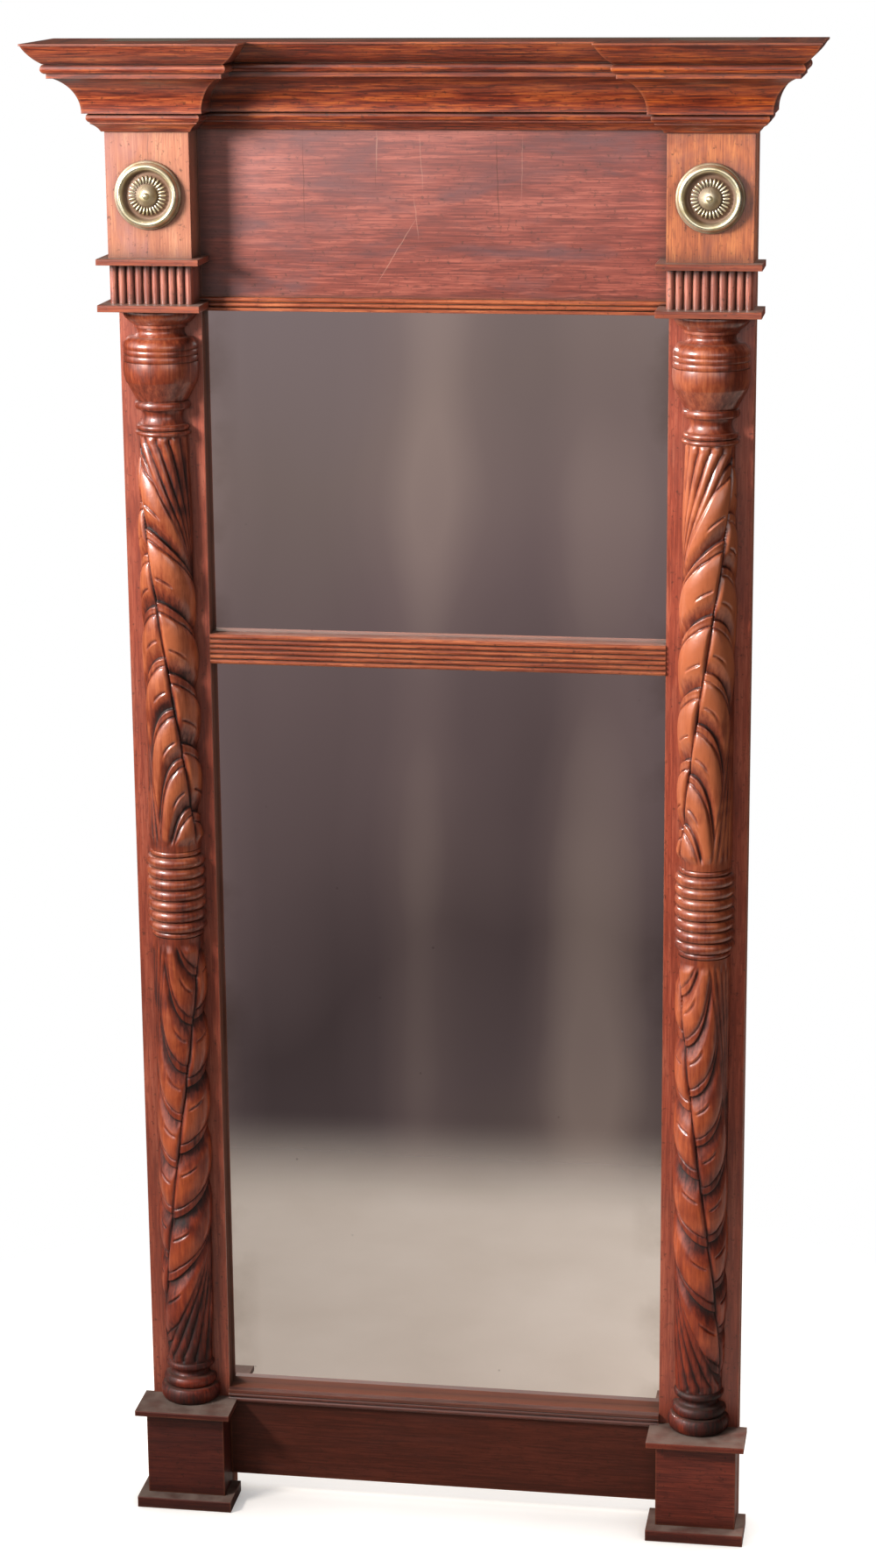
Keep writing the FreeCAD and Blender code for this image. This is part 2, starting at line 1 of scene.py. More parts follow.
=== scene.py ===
# Federal mirror in mahogany: the looks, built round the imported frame. Metres, wall plane at y = 0.
import json
import math

import bmesh
import bpy
import numpy as np
from mathutils import Matrix, Vector

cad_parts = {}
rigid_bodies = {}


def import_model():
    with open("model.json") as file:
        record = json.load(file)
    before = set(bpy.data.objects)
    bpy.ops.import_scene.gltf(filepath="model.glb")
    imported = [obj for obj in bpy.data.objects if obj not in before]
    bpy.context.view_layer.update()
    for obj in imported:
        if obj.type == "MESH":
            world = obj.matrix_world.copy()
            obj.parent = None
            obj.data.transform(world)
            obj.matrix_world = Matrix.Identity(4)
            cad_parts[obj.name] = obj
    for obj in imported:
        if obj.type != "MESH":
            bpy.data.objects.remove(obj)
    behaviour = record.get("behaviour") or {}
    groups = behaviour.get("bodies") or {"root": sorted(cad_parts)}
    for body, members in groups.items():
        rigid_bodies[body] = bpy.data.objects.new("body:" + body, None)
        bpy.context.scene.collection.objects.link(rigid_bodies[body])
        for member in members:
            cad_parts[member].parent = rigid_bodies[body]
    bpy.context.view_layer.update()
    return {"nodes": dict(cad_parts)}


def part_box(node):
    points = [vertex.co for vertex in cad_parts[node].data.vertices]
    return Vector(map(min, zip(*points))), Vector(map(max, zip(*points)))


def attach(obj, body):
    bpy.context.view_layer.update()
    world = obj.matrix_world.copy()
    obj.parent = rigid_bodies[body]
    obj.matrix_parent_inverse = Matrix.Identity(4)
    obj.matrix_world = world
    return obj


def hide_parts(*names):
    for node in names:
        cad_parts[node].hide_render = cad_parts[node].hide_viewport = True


for leftOver in list(bpy.data.objects):
    bpy.data.objects.remove(leftOver)
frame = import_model()
nodes = frame["nodes"]
scene = bpy.context.scene
scene.view_settings.view_transform = "Standard"
mm = 0.001
footLevel = -0.9                    # the foot below the ring pivots, which are the frame's origin
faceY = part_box("stile_veneer_left")[0].y
print("frame loaded:", len(nodes), "nodes")


def toLinear(hexText):
    parts = [int(hexText[i:i + 2], 16) / 255 for i in (1, 3, 5)]
    return tuple(c / 12.92 if c <= 0.04045 else ((c + 0.055) / 1.055) ** 2.4 for c in parts) + (1.0,)


# adds one node, a shader node where its kind has no Node in it: plain values and hex colours go to its
# sockets, other nodes' sockets are linked, a node by its first live output, and stops fill a colour ramp
def put(tree, kind, inputs=None, stops=None, **settings):
    node = tree.nodes.new(kind if "Node" in kind else "ShaderNode" + kind)
    for key, value in settings.items():
        setattr(node, key, value)
    for key, value in (inputs or {}).items():
        if isinstance(value, bpy.types.Node):
            value = next(output for output in value.outputs if output.enabled)
        if isinstance(value, bpy.types.NodeSocket):
            tree.links.new(value, node.inputs[key])
        else:
            node.inputs[key].default_value = toLinear(value) if isinstance(value, str) else value
    if stops:
        ramp = node.color_ramp.elements
        while len(ramp) < len(stops):
            ramp.new(0.5)
        for step, (spot, shade) in zip(ramp, stops):
            step.position = spot
            step.color = toLinear(shade)
    return node


# an empty material, its tree, and where a point is on the object
def startMaterial(name):
    made = bpy.data.materials.new(name)
    made.use_nodes = True
    tree = made.node_tree
    tree.nodes.clear()
    return made, tree, put(tree, "TexCoord").outputs["Object"]


# dirt and painted shade held in hollows, darker where the surface is hidden: reach in mm, and how open a
# place is where it is darkest and where it ends
def hollowShadeAndDirt(tree, under, reach, darkest, fullyOpen, share, tint):
    hollow = put(tree, "AmbientOcclusion", {"Distance": reach * mm}, samples=6)
    held = put(tree, "MapRange", {"Value": hollow.outputs["AO"], "From Min": darkest, "From Max": fullyOpen,
               "To Min": share, "To Max": 0.0})
    return put(tree, "Mix", {0: held, 6: under, 7: tint}, data_type="RGBA")


def meshObject(name, points, faces, material):
    mesh = bpy.data.meshes.new(name)
    mesh.from_pydata([tuple(p) for p in points], [], faces)
    mesh.materials.append(material)
    thing = bpy.data.objects.new(name, mesh)
    scene.collection.objects.link(thing)
    return thing


def smoothShade(piece, sharpAngle):
    piece.data.polygons.foreach_set("use_smooth", [True] * len(piece.data.polygons))
    piece.data.set_sharp_from_angle(angle=math.radians(sharpAngle))


# Camera: stands a little right of the middle and above the cornice, looking down, as the photograph was taken
camera = {"place": (0.40381, -2.51005, 0.37681), "right": (0.9874146, 0.15792771, -0.00844114),
          "up": (-0.03246567, 0.25464401, 0.96648974), "look": (-0.154785, 0.95405203, -0.25656644),
          "lens": 77.585}
lensData = bpy.data.cameras.new("photoCamera")
lensData.sensor_width = 36.0
lensData.lens = camera["lens"]
photoCamera = bpy.data.objects.new("photoCamera", lensData)
scene.collection.objects.link(photoCamera)
across, upward, back = Vector(camera["right"]), Vector(camera["up"]), -Vector(camera["look"])
turned = Matrix((across, upward, back)).transposed().to_4x4()
photoCamera.matrix_world = Matrix.Translation(camera["place"]) @ turned
scene.camera = photoCamera

# Studio: a pale floor at the foot, a soft box high on the left, weaker ones in front and behind, and a room
# that only reflections see
studio = {"floorHalf": 1.5, "floorFront": -0.9, "floorFade": -0.6, "floorBack": 1.3, "floorDrop": 0.0004,
          "floorGlow": 0.9, "floorShine": 0.15, "underShade": 0.12, "whiteFrom": 0.45, "whiteTo": 0.72,
          "fill": 0.05, "roomShift": (0.3, 0.2, 0.1), "roomGlint": 0.2,
          "skyAim": (-0.76, -0.56, 0.33), "sky": 3.0, "frontGlow": 0.3,
          "lamps": {"windowSoftBox": {"place": (-1.4, -1.15, 0.6), "aim": (0.5, -0.05, 1.7), "wide": 0.5,
                                      "tall": 0.6, "power": 105.0, "shines": True},
                    "frontSoftBox": {"place": (0.62, -1.35, 0.34), "aim": (0.1, -0.05, 0.7), "wide": 1.2,
                                     "tall": 0.7, "power": 5.0, "shines": True},
                    "backSoftBox": {"place": (0.9, 1.35, 0.7), "aim": (0.0, 0.0, -0.25), "wide": 1.3,
                                    "tall": 1.3, "power": 36.0, "shines": False}}}
world = bpy.data.worlds.new("studioRoom")
scene.world = world
world.use_nodes = True
tree = world.node_tree
tree.nodes.clear()
toward = put(tree, "TexCoord").outputs["Generated"]
rise = put(tree, "SeparateXYZ", {0: toward})
stretched = put(tree, "Mapping", {"Vector": toward, "Scale": (1.0, 0.6, 0.45)})
blur = put(tree, "TexNoise", {"Vector": stretched, "Scale": 12.0, "Detail": 1.5})
sway = put(tree, "Math", {0: blur, 1: 0.12, 2: -0.06}, operation="MULTIPLY_ADD")
level = put(tree, "Math", {0: rise.outputs["Z"], 1: sway}, operation="ADD")
spot = put(tree, "MapRange", {"Value": level, "From Min": -0.45, "From Max": 0.25})
room = put(tree, "ValToRGB", {0: spot}, stops=[
    (0.0, "#5A514C"), (0.1, "#675C57"), (0.16, "#53494A"), (0.21, "#4C4243"), (0.27, "#6A5C5D"),
    (0.35, "#7F6F70"), (0.43, "#91827F"), (0.52, "#9F9194"), (0.66, "#766C6E"), (0.8, "#4A4445")])
upright, shelf = [put(tree, "TexNoise", {"Scale": size, "Detail": 0.4, "Vector": put(
    tree, "Mapping", {"Vector": toward, "Scale": stretch, "Location": studio["roomShift"]})})
    for size, stretch in ((24.0, (1.0, 0.25, 0.06)), (19.0, (0.2, 0.3, 1.0)))]  # doors and shelves, blurred
tone = put(tree, "Mix", {0: 0.2, 2: upright, 3: shelf})
things = put(tree, "ValToRGB", {0: tone}, stops=[
    (0.38, "#33282A"), (0.47, "#544648"), (0.53, "#7D6B68"), (0.61, "#C8B2A6")])
below = put(tree, "MapRange", {"Value": rise.outputs["Z"], "From Min": -0.02, "From Max": 0.1,
            "To Min": 0.24, "To Max": 0.0})
mixedRoom = put(tree, "Mix", {0: below, 6: room, 7: things}, data_type="RGBA")
rays = put(tree, "LightPath")
shiny = put(tree, "Math", {0: rays.outputs["Is Glossy Ray"],
            1: rays.outputs["Is Transmission Ray"]}, operation="MAXIMUM")
softFill = put(tree, "Background", {"Color": "#FFF8F0", "Strength": studio["fill"]})
# polish shows the room less than the clear plate does
clear = put(tree, "MapRange", {"Value": rays.outputs["Is Singular Ray"], "To Min": studio["roomGlint"]})
seenRoom = put(tree, "Background", {"Color": mixedRoom, "Strength": clear})
skyward = put(tree, "VectorMath", {0: toward, 1: studio["skyAim"]}, operation="DOT_PRODUCT")
skyGlow = put(tree, "MapRange", {"Value": skyward.outputs["Value"], "From Min": 0.5, "From Max": 1.0,
              "To Max": studio["sky"]}, interpolation_type="SMOOTHSTEP")
ahead = put(tree, "MapRange", {"Value": rise.outputs["Y"], "From Min": -0.2, "From Max": -0.8,
            "To Max": studio["frontGlow"]})
upHigh = put(tree, "MapRange", {"Value": rise.outputs["Z"], "From Min": -0.26, "From Max": 0.06})
blurred = put(tree, "Math", {0: 1.0, 1: rays.outputs["Is Singular Ray"]}, operation="SUBTRACT")
wall = put(tree, "Math", {0: ahead, 1: skyGlow}, operation="ADD")
wallTop = put(tree, "Math", {0: wall, 1: upHigh}, operation="MULTIPLY")
sheen = put(tree, "Math", {0: wallTop, 1: blurred}, operation="MULTIPLY")
sky = put(tree, "Background", {"Color": "#FFF1EA", "Strength": sheen})
seenRoom = put(tree, "AddShader", {0: seenRoom, 1: sky})
white = put(tree, "Background", {"Color": "#FFFFFF", "Strength": 1.0})
lit = put(tree, "MixShader", {0: shiny, 1: softFill, 2: seenRoom})
whole = put(tree, "MixShader", {0: rays.outputs["Is Camera Ray"], 1: lit, 2: white})
put(tree, "OutputWorld", {0: whole})

# painted floor: pale matt, lifted to white for the camera only, so that the shadow stays
paleFloor, tree, spread = startMaterial("paleStudioFloor")
mottle = put(tree, "TexNoise", {"Vector": spread, "Scale": 9.0, "Detail": 3.0})
paint = put(tree, "ValToRGB", {0: mottle}, stops=[(0.3, "#CFC5BA"), (0.7, "#D8CFC5")])
matt = put(tree, "BsdfDiffuse", {"Color": paint})
# painted shadow: the camera's white glow is taken down where the floor is hidden, under and beside the feet
under = put(tree, "AmbientOcclusion", {"Distance": studio["underShade"]}, samples=8)
shaded = put(tree, "MapRange", {"Value": under.outputs["AO"], "From Min": 0.3, "From Max": 0.9,
             "To Min": 0.3, "To Max": studio["floorGlow"]})            # the dark under the feet
glow = put(tree, "Emission", {"Color": "#FFFFFF", "Strength": shaded})
lifted = put(tree, "AddShader", {0: matt, 1: glow})
edge = put(tree, "VectorMath", {0: spread, 1: (0.0, -0.1, footLevel)}, operation="DISTANCE")
fade = put(tree, "MapRange", {"Value": edge.outputs["Value"], "From Min": studio["whiteFrom"],
           "From Max": studio["whiteTo"]})
bright = put(tree, "Emission", {"Color": "#FFFFFF", "Strength": 1.0})
cameraFloor = put(tree, "MixShader", {0: fade, 1: lifted, 2: bright})
rays = put(tree, "LightPath").outputs
shineStrength = put(tree, "Math", {0: rays["Is Singular Ray"], 1: studio["floorShine"]}, operation="MULTIPLY")
shine = put(tree, "Emission", {"Color": "#F2E8DC", "Strength": shineStrength})
solidFloor = put(tree, "AddShader", {0: matt, 1: shine})
forward = put(tree, "SeparateXYZ", {0: spread})
ends = put(tree, "MapRange", {"Value": forward.outputs["Y"], "From Min": studio["floorFront"],
           "From Max": studio["floorFade"]}, interpolation_type="SMOOTHSTEP")
gone = put(tree, "BsdfTransparent")
otherFloor = put(tree, "MixShader", {0: ends, 1: gone, 2: solidFloor})
floorMix = put(tree, "MixShader", {0: rays["Is Camera Ray"], 1: otherFloor, 2: cameraFloor})
put(tree, "OutputMaterial", {0: floorMix})
half, front, rear = studio["floorHalf"], studio["floorFront"], studio["floorBack"]
floorLevel = footLevel - studio["floorDrop"]
floor = meshObject("studioFloor", [(x, y, floorLevel) for x, y in (
    (-half, front), (half, front), (half, rear), (-half, rear))], [(0, 1, 2, 3)], paleFloor)
for name, box in studio["lamps"].items():
    lamp = bpy.data.lights.new(name, "AREA")
    lamp.shape = "RECTANGLE"
    lamp.size, lamp.size_y = box["wide"], box["tall"]
    lamp.energy = box["power"]
    lampThing = bpy.data.objects.new(name, lamp)
    scene.collection.objects.link(lampThing)
    lampThing.location = box["place"]
    aim = Vector(box["aim"]) - Vector(box["place"])
    lampThing.rotation_euler = aim.to_track_quat("-Z", "Y").to_euler()
    lampThing.visible_camera = False
    lampThing.visible_glossy = box["shines"]
print("studio and camera placed")


# sizes in mm of what the mahogany shows: how wide a grain line is, how far a hollow reaches;
# real fibres and pores are finer, and are drawn as coarse as they need to show
mahoganySize = {"grain": 3.2, "fibre": 1.1, "pore": 1.2, "bloom": 34, "knock": 3.5, "waver": 11, "corner": 14,
                "arris": 1.6, "drift": 16, "softEdge": 0.7, "bump": 0.15}


# Mahogany under old shellac: straight brown-red grain with open pores, a warm sheen, grime and painted shade
# in the corners, pale rubbed edges, and grey dust where a surface looks up; where asked, a painted sheen lies
# at the upper left
def makeMahogany(name, finish):
    made, tree, where = startMaterial(name)
    size = mahoganySize
    along = "XYZ".index(finish["grain"])
    fine, dash, wide = [put(tree, "Mapping", {"Vector": where, "Scale": tuple(
        share if axis == along else 1 for axis in range(3))})
        for share in (0.04, 0.14, finish["figureLength"])]             # grain runs long one way
    streak = put(tree, "TexNoise", {"Vector": fine, "Scale": 1 / (size["grain"] * mm), "Detail": 6.0,
                 "Roughness": 0.68, "Distortion": 0.3})
    fibre = put(tree, "TexNoise", {"Vector": fine, "Scale": 1 / (size["fibre"] * mm), "Detail": 3.0})
    figure = put(tree, "TexNoise", {"Vector": wide, "Scale": 1 / (finish["figure"] * mm),
                 "Detail": 3.0, "Distortion": 0.9})                    # the broad cloudy figure
    pore = put(tree, "TexNoise", {"Vector": dash, "Scale": 1 / (size["pore"] * mm), "Detail": 2.0})
    both = put(tree, "Mix", {0: finish["figureShare"], 2: streak, 3: figure})
    lines = put(tree, "Math", {0: fibre, 1: 0.6, 2: -0.3}, operation="MULTIPLY_ADD")
    grained = put(tree, "Math", {0: both, 1: lines}, operation="ADD")
    wood = put(tree, "ValToRGB", {0: grained}, stops=[
        (0.36, finish["dark"]), (0.50, finish["middle"]), (0.64, finish["pale"])])
    openPores = put(tree, "MapRange", {"Value": pore, "From Min": 0.57, "From Max": 0.66})
    flecks = put(tree, "Math", {0: openPores, 1: finish["pores"]}, operation="MULTIPLY")
    pored = put(tree, "Mix", {0: flecks, 6: wood, 7: finish["dark"]}, data_type="RGBA")
    bloom = put(tree, "TexNoise", {"Vector": wide, "Scale": 1 / (size["bloom"] * mm), "Detail": 5.0,
                "Roughness": 0.6, "Distortion": 0.5})                  # blue-grey bloom in the old polish
    bloomed = put(tree, "MapRange", {"Value": bloom, "From Min": 0.5, "From Max": 0.66,
                  "To Max": finish["bloom"]})
    clouded = put(tree, "Mix", {0: bloomed, 6: pored, 7: finish["cloud"]}, data_type="RGBA")
    dent = put(tree, "TexNoise", {"Vector": where, "Scale": 1 / (size["knock"] * mm), "Detail": 4.0,
               "Roughness": 0.6})
    speck = put(tree, "MapRange", {"Value": dent, "From Min": 0.61, "From Max": 0.69,
                "To Max": 0.6})                                        # small dark knocks and ink specks
    whole = put(tree, "Mix", {0: speck, 6: clouded, 7: "#2E130C"}, data_type="RGBA")
    spot = put(tree, "SeparateXYZ", {0: where})
    waver = put(tree, "TexNoise", {"Vector": where, "Scale": 1 / (size["waver"] * mm), "Detail": 3.0})
    if finish["upperLeftSheen"]:                                                 # blanched polish and a painted sheen, most at upper left where the light falls
        high = put(tree, "MapRange", {"Value": spot.outputs["Z"], "From Min": 0.085, "From Max": 0.2,
                   "To Max": finish["upperLeftSheen"]})
        leftward = put(tree, "MapRange", {"Value": spot.outputs["X"], "From Min": -0.18, "From Max": 0.16,
                       "To Min": 1.0, "To Max": 0.3})
        share = put(tree, "Math", {0: high, 1: leftward}, operation="MULTIPLY")
        uneven = put(tree, "MapRange", {"Value": bloom, "From Min": 0.35, "From Max": 0.6,
                     "To Min": 1.0, "To Max": 0.45})
        blanch = put(tree, "Math", {0: share, 1: uneven}, operation="MULTIPLY")
        # the pale pink is partly blanched polish and partly a painted reflection of the light from the upper
        # left
        whole = put(tree, "Mix", {0: blanch, 6: whole, 7: "#BB9694"}, data_type="RGBA")
    for x, low, high, lean, shade, strength in finish["marks"]:        # cracks and scratches: places in mm
        up = put(tree, "Math", {0: spot.outputs["Z"], 1: -(low + high) / 2 * mm}, operation="ADD")
        line = put(tree, "Math", {0: up, 1: lean, 2: (x - 1) * mm}, operation="MULTIPLY_ADD")
        bent = put(tree, "Math", {0: waver, 1: 2.2 * mm, 2: line}, operation="MULTIPLY_ADD")
        gap = put(tree, "Math", {0: spot.outputs["X"], 1: bent}, operation="SUBTRACT")
        gapSize = put(tree, "Math", {0: gap}, operation="ABSOLUTE")
        thin = put(tree, "MapRange", {"Value": gapSize, "From Min": 0.1 * mm,
                   "From Max": 0.5 * mm, "To Min": strength, "To Max": 0.0})
        fromMiddle = put(tree, "Math", {0: up}, operation="ABSOLUTE")
        ends = put(tree, "MapRange", {"Value": fromMiddle, "From Min": (high - low) * 0.2 * mm,
                   "From Max": (high - low) * 0.5 * mm, "To Min": 1.0, "To Max": 0.0})
        mark = put(tree, "Math", {0: thin, 1: ends}, operation="MULTIPLY")
        whole = put(tree, "Mix", {0: mark, 6: whole, 7: shade}, data_type="RGBA")
    # grime and painted shade: darker in corners and quirks, where the surface is hidden from the light
    aged = hollowShadeAndDirt(tree, whole, size["corner"], darkest=0.3, fullyOpen=0.95, share=finish["grimeAndShade"], tint="#1E0D09")
    arris = put(tree, "AmbientOcclusion", {"Distance": size["arris"] * mm}, samples=6, inside=True)
    rubbed = put(tree, "MapRange", {"Value": arris.outputs["AO"], "From Min": 0.55, "From Max": 0.92,
                 "To Min": finish["wear"], "To Max": 0.0})
    worn = put(tree, "Mix", {0: rubbed, 6: aged, 7: finish["worn"]}, data_type="RGBA")
    facing = put(tree, "SeparateXYZ", {0: put(tree, "NewGeometry").outputs["Normal"]})
    looksUp = put(tree, "MapRange", {"Value": facing.outputs["Z"], "From Min": 0.75, "From Max": 0.97})
    drift = put(tree, "TexNoise", {"Vector": where, "Scale": 1 / (size["drift"] * mm), "Detail": 4.0})
    patchy = put(tree, "MapRange", {"Value": drift, "From Min": 0.3, "From Max": 0.62,
                 "To Min": 0.35, "To Max": 0.95})
    dusty = put(tree, "Math", {0: looksUp, 1: patchy}, operation="MULTIPLY")
    dust = put(tree, "Math", {0: dusty, 1: finish["dust"]}, operation="MULTIPLY")
    colour = put(tree, "Mix", {0: dust, 6: worn, 7: "#8C7B70"}, data_type="RGBA")
    polish = put(tree, "MapRange", {"Value": figure, "From Min": 0.3, "From Max": 0.7,
                 "To Min": finish["gloss"] - 0.06, "To Max": finish["gloss"] + 0.10})
    dull = put(tree, "Mix", {0: dust, 2: polish, 3: 0.85})
    relief = put(tree, "Math", {0: flecks, 1: -1.0, 2: streak}, operation="MULTIPLY_ADD")
    soft = put(tree, "Bevel", {"Radius": size["softEdge"] * mm}, samples=4)
    bump = put(tree, "Bump", {"Height": relief, "Strength": 0.25, "Distance": size["bump"] * mm,
               "Normal": soft})
    shader = put(tree, "BsdfPrincipled", {"Base Color": colour, "Roughness": dull,
                 "IOR": 1.5, "Specular IOR Level": finish["shine"], "Coat Weight": finish["coat"],
                 "Coat Roughness": 0.28, "Normal": bump})
    put(tree, "OutputMaterial", {0: shader})
    return made


# what differs from one run of wood to the next; sizes in mm
plainWood = {"grain": "Z", "figure": 38, "figureLength": 0.25, "figureShare": 0.4, "dark": "#4A1A10",
             "middle": "#7E3722", "pale": "#A5542F", "worn": "#9C5A3C", "grimeAndShade": 0.95, "wear": 0.3,
             "bloom": 0.2, "cloud": "#4A2A28", "dust": 0.8, "gloss": 0.4, "shine": 0.4, "coat": 0.6,
             "pores": 0.7, "upperLeftSheen": 0.0, "marks": []}
corniceWood = dict(plainWood, grain="X", dust=0.35, dark="#4A160C", middle="#85351C", pale="#B45C30")
stileWood = dict(plainWood, bloom=0.3, grimeAndShade=0.5)
darkWood = dict(plainWood, grain="X", gloss=0.42, shine=0.25, coat=0.1)
crack, scratch = "#34160F", "#C79C88"
woods = {
    "corniceMahogany": dict(corniceWood, coat=0.9),
    # the centre copy is darker: painted shade, for the shadow cast on it from the left break
    "corniceCentreShadedMahogany": dict(corniceWood, coat=0.5, dark="#3A0F07", middle="#762B14", pale="#A85222"),
    "corniceRightMahogany": dict(corniceWood, coat=0.4, dark="#441207", middle="#823010", pale="#B6581E"),
    "corniceReturnMahogany": dict(corniceWood, grain="Y", coat=0.9),
    "friezeCrotchVeneer": dict(
        plainWood, grain="X", figure=44, figureLength=0.3, figureShare=0.5, dark="#5A2019", middle="#7D362A",
        pale="#A25544", bloom=0.8, cloud="#57393C", gloss=0.44, coat=0.3, upperLeftSheen=0.34,
        marks=[(-96, 128, 204, 0.0, crack, 0.5), (-41, 170, 206, 0.03, scratch, 0.45),
               (-41.6, 160, 190, 0.03, crack, 0.4), (49, 126, 206, -0.03, crack, 0.7),
               (-8, 158, 206, -0.06, scratch, 0.25), (-12, 122, 160, -0.1, scratch, 0.25),
               (-27, 88, 144, 0.62, scratch, 0.4), (67, 150, 204, 0.02, scratch, 0.2)]),
    # left block: pale wood, painted paler and pinker still as a painted sheen of the light from the left
    "leftBlockSheenMahogany": dict(plainWood, figure=20, figureLength=0.3, figureShare=0.35, dark="#A2624A",
                              middle="#B27052", pale="#C28463", gloss=0.42, bloom=0.5, cloud="#96696A",
                              marks=[(-207, 178, 208, 0.03, crack, 0.5), (-199, 172, 204, 0.01, crack, 0.4),
                                     (-209, 106, 140, 0.05, crack, 0.4), (-200, 112, 138, 0.07, crack, 0.3),
                                     (-192, 180, 206, 0.05, crack, 0.3)]),
    "rightBlockMahogany": dict(plainWood, figure=18, figureLength=0.6, figureShare=0.55, dark="#8E4A2E",
                               middle="#B3613A", pale="#CF7D49", bloom=0.5, cloud="#85524A"),
    "stileVeneer": dict(stileWood, dark="#823627", middle="#A04A34", pale="#B35F48"),
    # right-hand copy, paler: painted light for the light that the right side lacks
    "rightStileLitVeneer": dict(stileWood, dark="#8E3B29", middle="#AE4E36", pale="#C2664B"),
    "reededMahogany": dict(plainWood, dark="#7A392B", middle="#9C513E", pale="#B86F58"),
    # right-hand copy, paler: painted light for the light that the right side lacks
    "rightReededLitMahogany": dict(plainWood, dark="#8E4836", middle="#B8664F", pale="#D48A70"),
    "plinthMahogany": dict(darkWood, dark="#38120C", middle="#491A13", pale="#5A2418"),
    "rightPlinthMahogany": dict(darkWood, dark="#4A180E", middle="#662619", pale="#7C3320"),
    "plateMahogany": dict(plainWood, grain="X", dark="#682A1A", middle="#863B21", pale="#A04E2D"),
    "railVeneer": dict(darkWood, figure=60, dark="#300F09", middle="#3F160E", pale="#502015", shine=0.2,
                       gloss=0.45, coat=0.0),
    "beadMahogany": dict(plainWood, grain="X", dark="#743320", middle="#984A2C", pale="#B8673F", dust=0.3,
                         coat=0.2, shine=0.3),
    "sillMahogany": dict(plainWood, grain="X", dark="#43180F", middle="#5A2417", pale="#703021", dust=0.15),
}
woodMaterials = {name: makeMahogany(name, finish) for name, finish in woods.items()}


# Carved mahogany: the cuts hold dark wax and painted shade, the swells are rubbed to orange brown with a
# painted highlight, and shine
carvedLook = {"cut": "#170603", "low": "#42150B", "high": "#7F351E", "rubbed": "#B8643E", "gloss": 0.36,
              "paler": 0.22, "lowShare": 0.3, "lowDark": 0.15, "lowTint": "#FFD0A8",
              "grain": 2.6, "gouge": 6, "cloud": 30, "corner": 9}      # sizes in mm
carvedMahogany, tree, where = startMaterial("carvedMahogany")
fine = put(tree, "Mapping", {"Vector": where, "Scale": (1, 1, 0.09)})
streak = put(tree, "TexNoise", {"Vector": fine, "Scale": 1 / (carvedLook["grain"] * mm), "Detail": 6.0,
             "Roughness": 0.66})
gouge = put(tree, "TexNoise", {"Vector": where, "Scale": 1 / (carvedLook["gouge"] * mm), "Detail": 2.0})
cloud = put(tree, "TexNoise", {"Vector": where, "Scale": 1 / (carvedLook["cloud"] * mm), "Detail": 3.0,
            "Distortion": 0.6})
depth = put(tree, "Attribute", attribute_name="carveToneAndShade")
wander = put(tree, "Math", {0: cloud, 1: 0.95, 2: -0.475}, operation="MULTIPLY_ADD")
lineUp = put(tree, "Math", {0: streak, 1: 0.95, 2: -0.475}, operation="MULTIPLY_ADD")
mixed = put(tree, "Math", {0: wander, 1: lineUp}, operation="ADD")
hand = put(tree, "SeparateXYZ", {0: where})
paler = put(tree, "MapRange", {"Value": hand.outputs["X"], "From Min": -0.1, "From Max": 0.1,
            "To Max": carvedLook["paler"]})                            # painted light: the right column is made paler, for the light that the right side lacks
highUp = put(tree, "MapRange", {"Value": hand.outputs["Z"], "From Min": -0.6, "From Max": -0.3,
             "To Min": carvedLook["lowShare"], "To Max": 1.0})
darker = put(tree, "MapRange", {"Value": hand.outputs["Z"], "From Min": -0.8, "From Max": -0.25,
             "To Min": -carvedLook["lowDark"], "To Max": 0.06})        # darker towards the foot and a little paler at the top
fading = put(tree, "Math", {0: paler, 1: highUp, 2: darker}, operation="MULTIPLY_ADD")
faded = put(tree, "Math", {0: mixed, 1: fading}, operation="ADD")
shade = put(tree, "Math", {0: depth.outputs["Fac"], 1: faded}, operation="ADD")
wood = put(tree, "ValToRGB", {0: shade}, stops=[
    (0.1, carvedLook["cut"]), (0.33, carvedLook["low"]), (0.60, carvedLook["high"]),
    (1.0, carvedLook["rubbed"])])
lowDown = put(tree, "MapRange", {"Value": hand.outputs["Z"], "From Min": -0.75, "From Max": -0.3,
              "To Min": 1.0, "To Max": 0.0})
warm = put(tree, "Mix", {0: lowDown, 6: wood, 7: carvedLook["lowTint"]},
           data_type="RGBA", blend_type="MULTIPLY")                    # redder polish towards the foot
# grime and painted shade in the hollows of the carving
aged = hollowShadeAndDirt(tree, warm, carvedLook["corner"], darkest=0.25, fullyOpen=0.8, share=0.6, tint=carvedLook["cut"])
facing = put(tree, "SeparateXYZ", {0: put(tree, "NewGeometry").outputs["Normal"]})
looksUp = put(tree, "MapRange", {"Value": facing.outputs["Z"], "From Min": 0.7, "From Max": 0.98,
              "To Max": 0.4})
dust = put(tree, "Math", {0: looksUp, 1: cloud}, operation="MULTIPLY")
dusted = put(tree, "Mix", {0: dust, 6: aged, 7: "#8A776C"}, data_type="RGBA")
polish = put(tree, "MapRange", {"Value": shade, "From Min": 0.15, "From Max": 0.7,
             "To Min": 0.6, "To Max": carvedLook["gloss"]})            # dull wax in the cuts
uneven = put(tree, "Bump", {"Height": gouge, "Strength": 0.5, "Distance": 0.7 * mm})
bump = put(tree, "Bump", {"Height": streak, "Strength": 0.4, "Distance": 0.2 * mm,
           "Normal": uneven})                                          # gouge marks under the grain
wax = put(tree, "MapRange", {"Value": shade, "From Min": 0.3, "From Max": 0.6, "To Max": 0.9})
drier = put(tree, "MapRange", {"Value": lowDown, "To Min": 1.0, "To Max": 0.3})
coat = put(tree, "Math", {0: wax, 1: drier}, operation="MULTIPLY")
